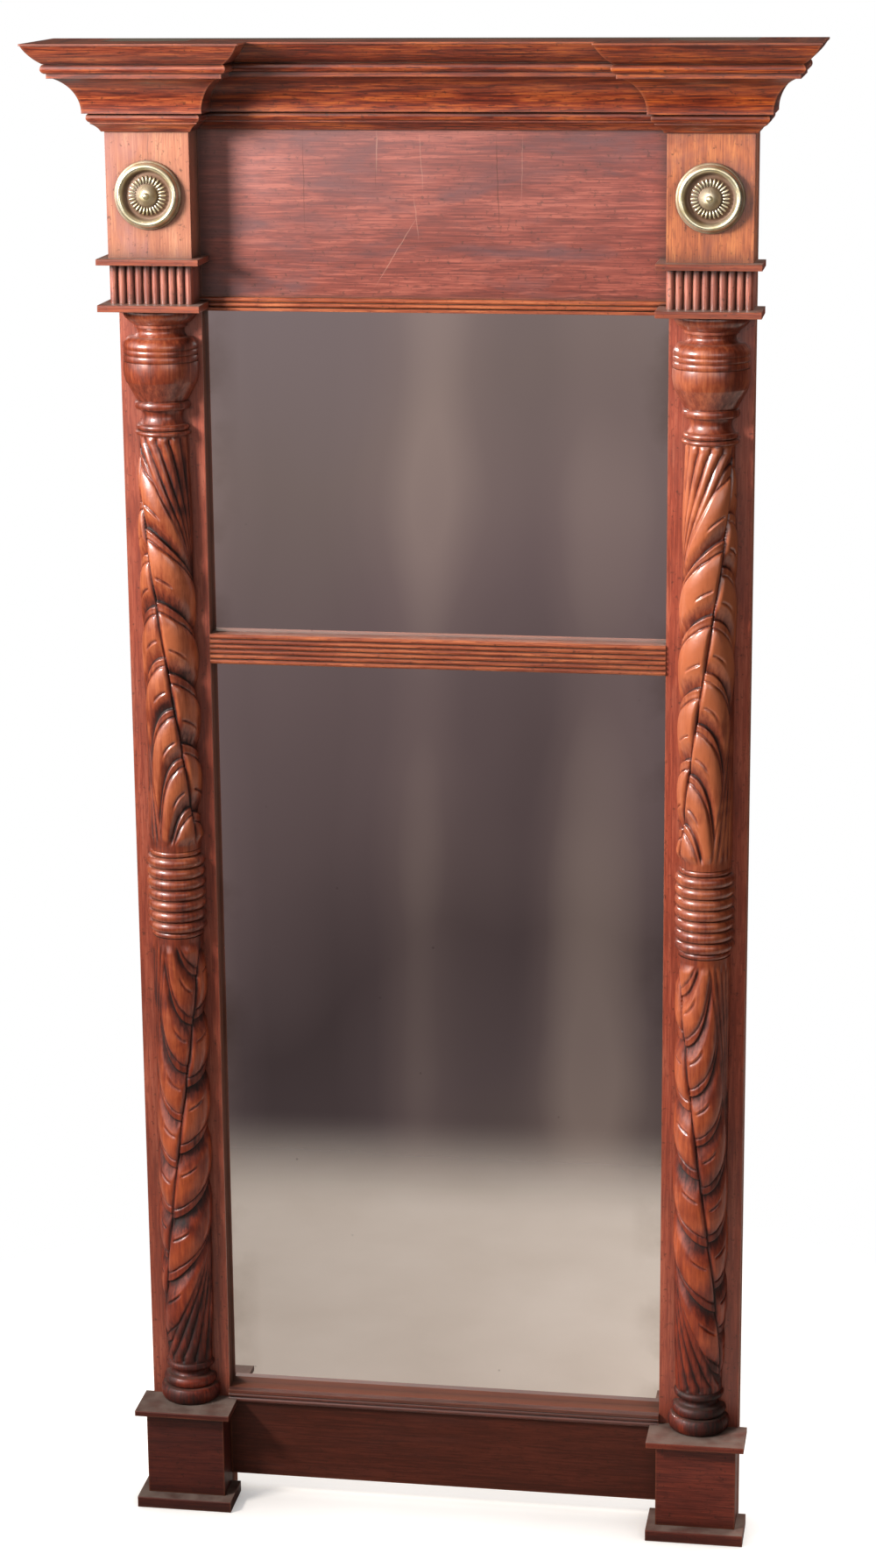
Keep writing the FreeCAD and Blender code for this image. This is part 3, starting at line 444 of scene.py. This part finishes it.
shader = put(tree, "BsdfPrincipled", {"Base Color": dusted, "Roughness": polish,
             "IOR": 1.5, "Specular IOR Level": 0.38, "Coat Weight": coat, "Coat Roughness": 0.22,
             "Normal": bump})
put(tree, "OutputMaterial", {0: shader})


# Metals: stamped brass with lacquer gone brown in the hollows, plain hanger brass, and rusty wrought iron
def makeMetal(name, finish):
    made, tree, where = startMaterial(name)
    tarnish = put(tree, "TexNoise", {"Vector": where, "Scale": 1 / (finish["blotch"] * mm), "Detail": 4.0})
    metal = put(tree, "ValToRGB", {0: tarnish}, stops=[
        (0.32, finish["dark"]), (0.6, finish["bright"])])
    # darker in the hollows, where the surface is hidden: dirt and painted shade; the brown patina attribute
    # is the metal's own
    hollow = put(tree, "AmbientOcclusion", {"Distance": finish["hollow"] * mm}, samples=6)
    held = put(tree, "MapRange", {"Value": hollow.outputs["AO"], "From Min": 0.35, "From Max": 0.9,
               "To Min": finish["dirtAndShade"], "To Max": 0.0})
    stain = put(tree, "Attribute", attribute_name="patina")
    brown = put(tree, "Math", {0: held, 1: stain.outputs["Fac"]}, operation="MAXIMUM")
    toned = put(tree, "Mix", {0: stain.outputs["Fac"], 6: metal, 7: finish["patina"]}, data_type="RGBA")
    colour = put(tree, "Mix", {0: held, 6: toned, 7: finish["grimeAndShade"]}, data_type="RGBA")
    bare = put(tree, "MapRange", {"Value": brown, "To Min": finish["metallic"], "To Max": 0.3})
    rough = put(tree, "MapRange", {"Value": tarnish, "From Min": 0.3, "From Max": 0.7,
                "To Min": finish["rough"] + 0.12, "To Max": finish["rough"] - 0.06})
    dulled = put(tree, "Mix", {0: brown, 2: rough, 3: 0.6})
    grain = put(tree, "TexNoise", {"Vector": where, "Scale": 1 / (0.9 * mm), "Detail": 3.0})
    bump = put(tree, "Bump", {"Height": grain, "Strength": 0.25, "Distance": 0.06 * mm})
    shader = put(tree, "BsdfPrincipled", {"Base Color": colour, "Metallic": bare,
                 "Roughness": dulled, "Normal": bump})
    put(tree, "OutputMaterial", {0: shader})
    return made


stampedBrass = makeMetal("stampedBrass", {
    "dark": "#C6B88C", "bright": "#EFE6C8", "grimeAndShade": "#2A1C12", "dirtAndShade": 0.9,
    "patina": "#6E4C38", "hollow": 2.6, "blotch": 9, "rough": 0.26, "metallic": 0.85})
hangerBrass = makeMetal("hangerBrass", {
    "dark": "#7E6736", "bright": "#B0945A", "grimeAndShade": "#3B2D18", "dirtAndShade": 0.8,
    "patina": "#6B552E", "hollow": 3, "blotch": 6, "rough": 0.38, "metallic": 1.0})
wroughtIron = makeMetal("rustedIron", {
    "dark": "#3A2A22", "bright": "#5B4D45", "grimeAndShade": "#241711", "dirtAndShade": 0.8,
    "patina": "#4A2A1A", "hollow": 2, "blotch": 2, "rough": 0.6, "metallic": 0.75})

# Old silvered plate glass: slightly wavy, so the room blurs, with the silver browned along the rebate
plateLook = {"silver": "#E4DEDB", "browned": "#A3968B", "spot": "#5A4E45", "wave": 95, "lift": 0.08,
             "cloud": 60, "fleck": 26}                                 # sizes in mm
agedMirror, tree, where = startMaterial("agedMirrorPlate")
wave = put(tree, "TexNoise", {"Vector": where, "Scale": 1 / (plateLook["wave"] * mm), "Detail": 1.5})
cloud = put(tree, "TexNoise", {"Vector": where, "Scale": 1 / (plateLook["cloud"] * mm), "Detail": 5.0})
side = put(tree, "SeparateXYZ", {0: where})
away = put(tree, "Math", {0: side.outputs["X"]}, operation="ABSOLUTE")
nearEdge = put(tree, "MapRange", {"Value": away, "From Min": 0.150, "From Max": 0.184})
patch = put(tree, "MapRange", {"Value": cloud, "From Min": 0.45, "From Max": 0.75})
browned = put(tree, "Math", {0: nearEdge, 1: patch}, operation="MULTIPLY")
silver = put(tree, "Mix", {0: browned, 6: plateLook["silver"], 7: plateLook["browned"]}, data_type="RGBA")
fleck = put(tree, "TexVoronoi", {"Vector": where, "Scale": 1 / (plateLook["fleck"] * mm)})
dot = put(tree, "MapRange", {"Value": fleck.outputs["Distance"], "From Min": 0.02, "From Max": 0.05,
          "To Min": 0.6, "To Max": 0.0})
spotted = put(tree, "Math", {0: dot, 1: patch}, operation="MULTIPLY")
plate = put(tree, "Mix", {0: spotted, 6: silver, 7: plateLook["spot"]}, data_type="RGBA")
bump = put(tree, "Bump", {"Height": wave, "Strength": 0.5, "Distance": plateLook["lift"] * mm})
shader = put(tree, "BsdfPrincipled", {"Base Color": plate, "Metallic": 1.0,
             "Roughness": 0.0, "Normal": bump})
put(tree, "OutputMaterial", {0: shader})


# Sawn pine, bare on the back: yellow-brown with darker late wood and patches of brown age; where it looks out
# beside the veneers it is stained red
def makePine(name, grain, look):
    made, tree, where = startMaterial(name)
    stretch = {"X": (0.05, 1, 1), "Z": (1, 1, 0.05)}[grain]
    along = put(tree, "Mapping", {"Vector": where, "Scale": stretch})
    ring = put(tree, "TexNoise", {"Vector": along, "Scale": 1 / (look["ring"] * mm), "Detail": 6.0,
               "Distortion": 0.7})
    lines = put(tree, "Math", {0: ring, 1: 9.0}, operation="MULTIPLY")
    late = put(tree, "Math", {0: lines}, operation="FRACT")
    age = put(tree, "TexNoise", {"Vector": where, "Scale": 1 / (look["cloud"] * mm), "Detail": 4.0})
    wood = put(tree, "ValToRGB", {0: late}, stops=[
        (0.0, look["early"]), (0.7, look["middle"]), (0.93, look["late"]), (1.0, look["early"])])
    stain = put(tree, "MapRange", {"Value": age, "From Min": 0.35, "From Max": 0.7,
                "To Min": 0.15, "To Max": 0.75})
    aged = put(tree, "Mix", {0: stain, 6: wood, 7: look["age"]}, data_type="RGBA")
    depth = put(tree, "SeparateXYZ", {0: where})
    front = put(tree, "MapRange", {"Value": depth.outputs["Y"], "From Min": -8 * mm, "From Max": -7 * mm,
                "To Min": look["stained"], "To Max": 0.0})
    stained = put(tree, "Mix", {0: front, 6: aged, 7: "#6E3622"}, data_type="RGBA")
    # grime and painted shade in the corners
    colour = hollowShadeAndDirt(tree, stained, look["corner"], darkest=0.3, fullyOpen=0.9, share=0.7, tint="#2A1E14")
    saw = put(tree, "TexNoise", {"Vector": along, "Scale": 1 / (look["saw"] * mm), "Detail": 3.0})
    bump = put(tree, "Bump", {"Height": saw, "Strength": 0.5, "Distance": 0.25 * mm})
    shader = put(tree, "BsdfPrincipled", {"Base Color": colour, "Roughness": 0.78,
                 "IOR": 1.45, "Normal": bump})
    put(tree, "OutputMaterial", {0: shader})
    return made


pineLook = {"early": "#BA8856", "middle": "#A67346", "late": "#714425", "age": "#70523A", "stained": 0.0,
            "ring": 14, "cloud": 70, "corner": 12, "saw": 1.6}         # sizes in mm
pineBoard = makePine("oldPineBoard", "Z", pineLook)
pineUpright = makePine("stainedPineUpright", "Z", dict(pineLook, stained=0.93))
pineLevel = makePine("stainedPineLevel", "X", dict(pineLook, stained=0.93))
dustyPine = makePine("dustyPine", "X", dict(pineLook, early="#6A5D4E", middle="#5E5243", late="#463A2E",
                                            age="#565047"))
print("materials made:", len(bpy.data.materials))

# every CAD node takes the finish of what it is made of
nodeFinish = {
    "corniceMahogany": ["cornice_front_left"],
    "corniceCentreShadedMahogany": ["cornice_centre"],
    "corniceRightMahogany": ["cornice_front_right"],
    "corniceReturnMahogany": ["cornice_return_left", "cornice_return_right",
                              "cornice_side_left", "cornice_side_right"],
    "friezeCrotchVeneer": ["frieze_veneer"],
    "leftBlockSheenMahogany": ["frieze_block_left"],
    "rightBlockMahogany": ["frieze_block_right"],
    "stileVeneer": ["stile_veneer_left"],
    "rightStileLitVeneer": ["stile_veneer_right"],
    "reededMahogany": ["reeded_block_left"],
    "rightReededLitMahogany": ["reeded_block_right"],
    "plinthMahogany": ["plinth_block_left", "plinth_base_left", "plinth_cap_left"],
    "rightPlinthMahogany": ["plinth_block_right", "plinth_base_right", "plinth_cap_right"],
    "plateMahogany": ["lower_plate_left", "lower_plate_right", "upper_plate_left", "upper_plate_right"],
    "railVeneer": ["rail_veneer"],
    "beadMahogany": ["divider_bar", "frieze_bead"],
    "sillMahogany": ["sill_bead"],
}
dressed = {node: woodMaterials[name] for name, group in nodeFinish.items() for node in group}
for side in ("left", "right"):
    dressed["stile_" + side] = pineUpright
    dressed["cornice_core_" + side] = pineLevel
    dressed["rosette_" + side] = dressed["rosette_pin_" + side] = stampedBrass
    dressed["hanger_strap_" + side] = dressed["hanger_ring_" + side] = hangerBrass
    dressed["column_" + side] = carvedMahogany
for node in ("top_rail", "bottom_rail"):
    dressed[node] = pineLevel
for node in ("upper_backboard", "lower_backboard", "glazing_strips"):
    dressed[node] = pineBoard
dressed["dust_board"] = dustyPine
for node in ("upper_mirror", "lower_mirror"):
    dressed[node] = agedMirror
for node in ("backboard_nails", "hanger_screws"):
    dressed[node] = wroughtIron
for node, thing in nodes.items():
    if not thing.material_slots:
        thing.data.materials.append(dressed[node])
    for slot in thing.material_slots:
        slot.material = dressed[node]
print("CAD nodes dressed:", len(dressed), "of", len(nodes))

# Columns: half columns turned, then carved with one long spiral leaf above the rings and one below.
# Heights from the foot and radii in mm; a member is height, foot radius, bulge or None, top radius.
columnShape = {"foot": 85.0, "axis": 207.75, "shaft": 20.0, "lowerShaft": 361.6, "upperShaft": 325.5,
               "turnedStep": 0.55, "turnedColumns": 80, "carvedStep": 0.62, "carvedColumns": 150,
               "turnedShade": {"foot": 0.52, "rings": 0.62, "urn": 0.5}, "rightShade": -0.13,
               "weld": 0.01, "sharp": 55}
leafShape = {"rootTurn": -72.0, "tipTurn": 66.0, "leadPitch": 56.0, "trailPitch": 40.0, "firstLead": 14.0,
             "firstTrail": 10.0, "leadReach": 114.0, "trailReach": 82.0, "leadSweep": 34.0,
             "trailSweep": 26.0, "leadDroop": 0.018, "trailDroop": 0.028, "leadSpan": 100, "trailSpan": 75,
             "leadCurve": 1.8, "trailCurve": 2.1, "rootSweep": 0.75, "rootRun": 130, "tipSweep": 0.6,
             "swell": 2.6, "cut": 2.2, "lip": 0.8, "band": 8.5, "line": 0.9, "nick": 1.2, "nickSpot": 0.66,
             "nickFrom": (9, 17), "nickTo": (36, 48), "hair": 0.85, "lipRise": 1.4, "trailRelief": 0.78,
             "ribCut": 1.1, "flute": 2.0, "stems": 5, "rooting": 118.0,
             "plainTip": 9.0, "waist": 1.8, "waistRun": 70, "lowRelief": 0.9, "lowWax": 0.65,
             "plainShade": 0.53, "shadeRelief": 7.5, "shadeWax": 0.45,
             "wax": {"cut": 0.8, "line": 0.4, "rib": 0.7, "nick": 0.6, "stem": 0.6}}


def bead(height, seat, crest):
    return (height, seat, crest, seat)


turnedGroups = {
    "foot": [bead(13.4, 21.4, 24.6), bead(8.9, 18.6, 21.8), (6.0, 16.4, 15.2, 17.2), bead(6.0, 17.6, 20.0)],
    "rings": [bead(5.0, 18.4, 20.4)] + [bead(8.72, 19.6, 23.3)] * 7 + [bead(5.0, 18.4, 20.4)],
    "urn": [bead(3.8, 19.6, 21.4), bead(4.8, 18.6, 20.6), (11.1, 18.0, 15.6, 17.2), bead(6.4, 19.8, 21.6),
            (15.0, 19.6, 23.6, 27.6), (14.9, 27.6, 29.0, 28.8), bead(5.2, 28.0, 28.8), bead(4.6, 27.8, 28.7),
            (8.8, 28.3, 28.2, 24.4), (7.3, 20.6, 18.2, 19.4), (2.0, 20.6, None, 20.6),
            (12.2, 20.8, 27.4, 27.2)],
}


# heights and radii up one group of turned members
def turnedOutline(members, height):
    rows = []
    for size, low, middle, high in members:
        count = max(2, int(round(size / columnShape["turnedStep"])))
        for part in range(count + 1):
            t = part / count
            radius = low + (high - low) * t
            if middle is not None:
                bulge = math.sqrt(max(0.0, 1 - (2 * t - 1) ** 2)) if low == high else 4 * t * (1 - t)
                radius += (middle - (low + high) / 2) * bulge
            rows.append((height + size * t, radius))
        height += size
    return np.array(rows), height


def smooth(value, low, high):
    t = np.clip((value - low) / (high - low), 0, 1)
    return t * t * (3 - 2 * t)


def hump(value, width):
    return np.exp(-(value / width) ** 2)


# how far the carving stands off the shaft in mm, and how much darkening lies there, dark wax and painted
# shade in the cuts:
# run is from the leaf's root, turn is in degrees from the front
def leafRelief(run, length, turn):
    s = leafShape
    tip = length - s["plainTip"]
    arc = math.radians(columnShape["shaft"])                           # mm round the shaft for each degree
    ribTurn = s["rootTurn"] + (s["tipTurn"] - s["rootTurn"]) * run / tip
    off = turn - ribTurn
    leads, reach, fromRib = off > 0, np.abs(off), np.abs(off) * arc
    # each lobe leaves the rib square and droops towards the tip, more the further out it is
    leadSweep = s["leadSweep"] * (1 + s["rootSweep"] - s["rootSweep"] * smooth(run, 0, s["rootRun"]))
    trailSweep = s["trailSweep"] * (1 + s["tipSweep"] * smooth(run, 0.6 * tip, tip))
    leadOut, trailOut = reach / s["leadSpan"], reach / s["trailSpan"]
    sweep = np.where(leads, leadSweep * leadOut ** s["leadCurve"], trailSweep * trailOut ** s["trailCurve"])
    droop = np.where(leads, s["leadDroop"] * leadSweep * leadOut ** (s["leadCurve"] - 1),
                     s["trailDroop"] * trailSweep * trailOut ** (s["trailCurve"] - 1))
    square = 1 / np.sqrt(1 + (droop / arc) ** 2)
    pitch = np.where(leads, s["leadPitch"], s["trailPitch"])
    phase = (run - sweep - np.where(leads, s["firstLead"], s["firstTrail"])) / pitch
    part = phase - np.floor(phase)
    wide = pitch * square
    past = part * wide                                                 # mm past a cut, towards the tip
    # a cut, a raised lip, a flat band to a fine line, then a pillow that dives under the next lip
    band = s["band"] * np.where(leads, 1.0, 0.8) * (1 - 0.5 * reach / 110) * np.clip(square * 1.3, 0.5, 1)
    along = np.clip((past - band) / (wide - band), 0, 1)
    pillow = s["swell"] * np.sin(np.pi * along ** 0.58) - s["cut"] * smooth(along, 0.66, 1.0)
    lifted = smooth(past, 0, s["lipRise"])
    dip = 1 - 0.5 * np.sin(np.pi * np.clip(past / band, 0, 1))
    strip = s["lip"] * lifted * dip - s["cut"] * (1 - lifted)
    body = strip + (pillow - strip) * smooth(past, band - 0.9, band + 0.9)
    line = hump(past - band, s["hair"])
    stroke = (part - s["nickSpot"]) * wide
    reached = smooth(reach, *s["nickFrom"]) * (1 - smooth(reach, *s["nickTo"]))
    nick = hump(stroke, s["hair"]) * reached
    body = body - s["line"] * line - s["nick"] * nick + 0.35 * hump(stroke - 2.0, 0.9) * reached
    body = body * np.where(leads, 1.0, s["trailRelief"]) * (0.45 + 0.55 * smooth(reach, 1, 10))
    rooted = np.clip((run - 6) / s["rooting"], 0, 1) ** 0.7
    edge = np.where(leads, s["leadReach"], s["trailReach"]) * rooted + 1.0
    onLeaf = 1 - smooth(reach, edge - 5, edge + 5)
    body = body * (1 - 0.35 * smooth(reach, edge - 30, edge))
    groove = hump(fromRib, 0.9) * onLeaf
    body = body - s["ribCut"] * groove
    # long stems leave the collar and draw together beside the leaf
    room = np.maximum(np.where(leads, 90 - ribTurn - edge, ribTurn - edge + 90), 4)
    stemWide = room / s["stems"] * arc
    wave = np.sin(np.pi * np.where(leads, 90 - turn, turn + 90) / room * s["stems"])
    stems = np.minimum(s["flute"], 0.24 * stemWide) * (np.abs(wave) ** 0.8 - 0.6)
    relief = onLeaf * body + (1 - onLeaf) * stems
    # darkening along the cuts, lines, rib, nicks and stems: wax and painted shade
    cut = hump(np.minimum(past, wide - past), 0.8)
    held = s["wax"]
    wax = np.maximum.reduce([
        held["cut"] * cut * onLeaf, held["line"] * line * onLeaf, held["rib"] * groove,
        held["nick"] * nick * onLeaf, (1 - onLeaf) * held["stem"] * hump(wave * stemWide / np.pi, 0.6)])
    ends = smooth(run, 0, 3) * (1 - smooth(run, tip - 3, tip + 5))
    return relief * ends, wax * ends


# a closed half round against the stile, from heights and radii of rows by columns
def halfRound(height, radius, turn, hand):
    angle = np.radians(turn)[None, :]
    x = hand * columnShape["axis"] + radius * np.sin(angle)
    y = faceY / mm - radius * np.cos(angle)
    points = np.stack([x, y, height], -1).reshape(-1, 3) * mm + np.array([0, 0, footLevel])
    tall, wide = radius.shape
    corner = np.arange(wide)
    nextCorner = np.roll(corner, -1)
    faces = []
    for i in range(tall - 1):
        low, high = i * wide, (i + 1) * wide
        faces += np.stack([low + corner, low + nextCorner, high + nextCorner, high + corner], -1).tolist()
    faces += [corner[::-1].tolist(), (corner + (tall - 1) * wide).tolist()]
    return points, faces


def columnPiece(name, lumps, side):
    points, faces, depths = [], [], []
    for spots, corners, depth in lumps:
        start = sum(len(group) for group in points)
        points.append(spots)
        faces += [[corner + start for corner in face] for face in corners]
        depths.append(depth.reshape(-1))
    piece = meshObject(name, np.concatenate(points), faces, carvedMahogany)
    depth = np.concatenate(depths).astype(np.float32)
    piece.data.attributes.new("carveToneAndShade", "FLOAT", "POINT").data.foreach_set("value", depth)
    shape = bmesh.new()
    shape.from_mesh(piece.data)
    bmesh.ops.remove_doubles(shape, verts=shape.verts, dist=columnShape["weld"] * mm)
    bmesh.ops.recalc_face_normals(shape, faces=shape.faces)
    shape.to_mesh(piece.data)
    shape.free()
    smoothShade(piece, columnShape["sharp"])
    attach(piece, "mirror")
    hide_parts("column_" + side)
    print(name, "faces", len(piece.data.polygons))


def carvedShaft(name, foot, length, upward, side, hand):
    turn = np.linspace(-90, 90, columnShape["carvedColumns"] + 1)
    rows = np.linspace(0, length, int(length / columnShape["carvedStep"]) + 1)
    run = rows if upward else length - rows
    relief, wax = leafRelief(run[:, None], length, turn[None, :] * -hand)
    if upward:                                                         # the lower leaf is cut more shallowly
        relief, wax = relief * leafShape["lowRelief"], wax * leafShape["lowWax"]
    height = np.repeat(rows[:, None] + foot, len(turn), 1)
    # the shaft thins towards the leaf's root
    waist = leafShape["waist"] * (1 - smooth(run[:, None], 0, leafShape["waistRun"]))
    points, faces = halfRound(height, columnShape["shaft"] + relief - waist, turn, hand)
    # the colour tone: swells painted lighter and cuts painted darker, painted light and shade on top of the
    # rubbing and the wax
    shade = leafShape["plainShade"] + relief / leafShape["shadeRelief"] - leafShape["shadeWax"] * wax
    columnPiece(name, [(points, faces, shade)], side)


def makeColumn(side, hand):
    turn = np.linspace(-90, 90, columnShape["turnedColumns"] + 1)
    height, lumps = columnShape["foot"], []
    for group, shaft in (("foot", "lowerShaft"), ("rings", "upperShaft"), ("urn", None)):
        rows, height = turnedOutline(turnedGroups[group], height)
        up, out = np.repeat(rows[:, :1], len(turn), 1), np.repeat(rows[:, 1:], len(turn), 1)
        points, faces = halfRound(up, out, turn, hand)
        shade = columnShape["turnedShade"][group] + max(0, hand) * columnShape["rightShade"]
        lumps.append((points, faces, np.full(out.shape, shade)))
        if shaft:
            carvedShaft(shaft + "_" + side, height, columnShape[shaft], shaft == "lowerShaft", side, hand)
            height += columnShape[shaft]
    columnPiece("turnedMembers_" + side, lumps, side)


for side, hand in (("left", -1), ("right", 1)):
    makeColumn(side, hand)

# Rosettes: stamped brass discs, a rolled rim round a dished ring of petals and a ribbed boss
rosetteShape = {"petals": 28, "petalRing": 11.5, "petalLength": 6.4, "petalWidth": 1.8, "petalHeight": 2.6,
                "petalSeat": 3.2, "ribs": 40, "ribRing": 5.4, "ribLength": 1.7, "ribHeight": 0.16,
                "spokes": 280, "sharp": 50,
                "outline": [
                    (2.2, 8.1), (3.2, 7.9), (4.6, 7.3), (6.0, 6.3), (7.0, 5.3), (7.6, 4.4), (8.2, 3.6),
                    (8.8, 3.3), (11.5, 3.3), (14.4, 2.6), (15.2, 2.0), (16.6, 1.7), (17.6, 2.2), (18.2, 3.6),
                    (18.7, 5.2), (19.5, 6.5), (20.4, 7.1), (21.3, 7.2), (22.2, 6.8), (23.0, 5.9), (23.5, 4.8),
                    (23.8, 3.6), (24.0, 2.8), (24.7, 2.6), (25.1, 2.0), (25.3, 1.0), (25.3, 0.0)],
                # brown patina left in the dish and between the ribs of the boss: radius, share
                "patina": [
                    (0, 0.0), (2.6, 0.1), (3.6, 0.5), (7.6, 0.7), (8.6, 0.95), (17, 0.95), (18.4, 0.75),
                    (19.2, 0.15), (20, 0.0), (22.4, 0.0), (23.4, 0.3), (24.2, 0.75), (25.3, 0.45)]}


# a geometry tree with its named inputs
def startTree(name, sockets):
    group = bpy.data.node_groups.new(name, "GeometryNodeTree")
    for socket, kind in sockets.items():
        group.interface.new_socket(socket, in_out="INPUT", socket_type="NodeSocket" + kind)
    group.interface.new_socket("Geometry", in_out="OUTPUT", socket_type="NodeSocketGeometry")
    return group, put(group, "NodeGroupInput").outputs


# the last nodes of a tree: all real mesh, in one material
def endTree(group, copies, material):
    real = put(group, "GeometryNodeRealizeInstances", {0: copies})
    finish = put(group, "GeometryNodeSetMaterial", {"Geometry": real, "Material": material})
    put(group, "NodeGroupOutput", {0: finish})
    return group


# the petals stand round a ring
def petalTree():
    group, given = startTree("rosettePetals", {"petals": "Int", "petalRing": "Float", "petalLength": "Float",
                             "petalWidth": "Float", "petalHeight": "Float", "brass": "Material"})
    ring = put(group, "GeometryNodeMeshCircle", {"Vertices": given["petals"], "Radius": given["petalRing"]})
    petal = put(group, "GeometryNodeMeshUVSphere", {"Segments": 12, "Rings": 8, "Radius": 0.5})
    size = put(group, "CombineXYZ", {0: given["petalLength"], 1: given["petalWidth"],
               2: given["petalHeight"]})
    long = put(group, "GeometryNodeTransform", {"Geometry": petal, "Scale": size})
    count = put(group, "GeometryNodeInputIndex")
    share = put(group, "Math", {0: 2 * math.pi, 1: given["petals"]}, operation="DIVIDE")
    turn = put(group, "Math", {0: count, 1: share}, operation="MULTIPLY")
    spin = put(group, "CombineXYZ", {2: turn})
    facing = put(group, "FunctionNodeEulerToRotation", {0: spin})
    stand = put(group, "GeometryNodeInstanceOnPoints", {"Points": ring, "Instance": long,
                "Rotation": facing})
    return endTree(group, stand, given["brass"])


# runs a tree on a throwaway object and keeps the result as a plain mesh
def meshFromTree(group, values, startMesh=None):
    carrier = bpy.data.objects.new("carrier", startMesh or bpy.data.meshes.new("carrier"))
    scene.collection.objects.link(carrier)
    grow = carrier.modifiers.new("grow", "NODES")
    grow.node_group = group
    for item in group.interface.items_tree:
        if item.item_type == "SOCKET" and item.in_out == "INPUT" and item.name in values:
            grow[item.identifier] = values[item.name]
    mesh = bpy.data.meshes.new_from_object(carrier.evaluated_get(bpy.context.evaluated_depsgraph_get()))
    carrier.modifiers.clear()
    bpy.data.objects.remove(carrier)
    return mesh


petalSizes = {key: rosetteShape[key] * mm
              for key in ("petalRing", "petalLength", "petalWidth", "petalHeight")}
petalMesh = meshFromTree(petalTree(), dict(petalSizes, petals=rosetteShape["petals"], brass=stampedBrass))
for side in ("left", "right"):
    low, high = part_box("rosette_" + side)
    middle = Vector(((low.x + high.x) / 2, high.y, (low.z + high.z) / 2))
    outline = np.array(rosetteShape["outline"])
    spokes = rosetteShape["spokes"]
    turn = np.arange(spokes) * 2 * math.pi / spokes
    ribbed = hump(outline[:, :1] - rosetteShape["ribRing"], rosetteShape["ribLength"])
    ribbed = ribbed * rosetteShape["ribHeight"] * np.cos(rosetteShape["ribs"] * turn)[None, :]
    radius, out = outline[:, :1], outline[:, 1:] + ribbed
    ring = np.stack([radius * np.cos(turn), -out, radius * np.sin(turn)], -1).reshape(-1, 3) * mm
    faces = []
    for i in range(len(outline) - 1):
        faces += [(i * spokes + j, i * spokes + (j + 1) % spokes, (i + 1) * spokes + (j + 1) % spokes,
                   (i + 1) * spokes + j) for j in range(spokes)]
    last = (len(outline) - 1) * spokes
    faces += [tuple(range(spokes)), tuple(range(last + spokes - 1, last - 1, -1))]
    disc = meshObject("stampedRosette_" + side, ring + np.array(middle), faces, stampedBrass)
    spots, shares = np.array(rosetteShape["patina"]).T
    patina = np.repeat(np.interp(outline[:, 0], spots, shares), spokes).astype(np.float32)
    disc.data.attributes.new("patina", "FLOAT", "POINT").data.foreach_set("value", patina)
    shape = bmesh.new()
    shape.from_mesh(disc.data)
    bmesh.ops.recalc_face_normals(shape, faces=shape.faces)
    petals = petalMesh.copy()
    petals.transform(Matrix.Translation(middle + Vector((0, -rosetteShape["petalSeat"] * mm, 0)))
                     @ Matrix.Rotation(math.radians(90), 4, "X"))
    shape.from_mesh(petals)
    shape.to_mesh(disc.data)
    shape.free()
    smoothShade(disc, rosetteShape["sharp"])
    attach(disc, "mirror")
    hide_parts("rosette_" + side)
    print("rosette", side, "faces", len(disc.data.polygons))

# Nails: hand-forged rose heads along the backboards, each turned and sized a little differently
nailShape = {"width": 4.6, "crown": 1.7, "height": 0.7, "facets": 5, "seed": 7, "apart": 9.0, "sunk": 0.05,
             "turns": 6.28, "narrowest": 0.85}


def nailTree():
    group, given = startTree("roseHeadNails", {"Geometry": "Geometry", "width": "Float", "crown": "Float",
                             "height": "Float", "facets": "Int", "seed": "Int", "iron": "Material"})
    foot = put(group, "Math", {0: given["width"], 1: 0.5}, operation="MULTIPLY")
    top = put(group, "Math", {0: given["crown"], 1: 0.5}, operation="MULTIPLY")
    head = put(group, "GeometryNodeMeshCone", {"Vertices": given["facets"], "Side Segments": 2,
               "Radius Top": top, "Radius Bottom": foot, "Depth": given["height"]})
    spin = put(group, "FunctionNodeRandomValue", {"Min": 0.0, "Max": nailShape["turns"],
               "Seed": given["seed"]}, data_type="FLOAT")
    euler = put(group, "CombineXYZ", {0: math.radians(-90), 1: spin.outputs["Value"]})
    facing = put(group, "FunctionNodeEulerToRotation", {0: euler})
    across = put(group, "FunctionNodeRandomValue", {"Min": nailShape["narrowest"], "Max": 1.0,
                 "Seed": given["seed"]}, data_type="FLOAT")
    size = put(group, "CombineXYZ", {0: across.outputs["Value"], 1: 1.0, 2: 1.0})
    driven = put(group, "GeometryNodeInstanceOnPoints", {"Points": given["Geometry"], "Instance": head,
                 "Rotation": facing, "Scale": size})
    return endTree(group, driven, given["iron"])


boxes = []                                                             # the corners of each CAD nail
for corner in nodes["backboard_nails"].data.vertices:
    near = [box for box in boxes if (corner.co.xz - box[0].xz).length < nailShape["apart"] * mm]
    if near:
        near[0].append(corner.co.copy())
    else:
        boxes.append([corner.co.copy()])
spots = bpy.data.meshes.new("nailSpots")
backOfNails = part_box("backboard_nails")[1].y
spots.from_pydata([(sum(c.x for c in corners) / len(corners), backOfNails - nailShape["sunk"] * mm,
                    sum(c.z for c in corners) / len(corners)) for corners in boxes], [], [])
nailSizes = {key: nailShape[key] * mm for key in ("width", "crown", "height")}
nailMesh = meshFromTree(nailTree(), dict(nailSizes, facets=nailShape["facets"], seed=nailShape["seed"],
                        iron=wroughtIron), spots)
nails = bpy.data.objects.new("roseHeadNails", nailMesh)
scene.collection.objects.link(nails)
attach(nails, "mirror")
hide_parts("backboard_nails")
print("nails", len(boxes), "on the board at", round(backOfNails / mm, 2), "mm")
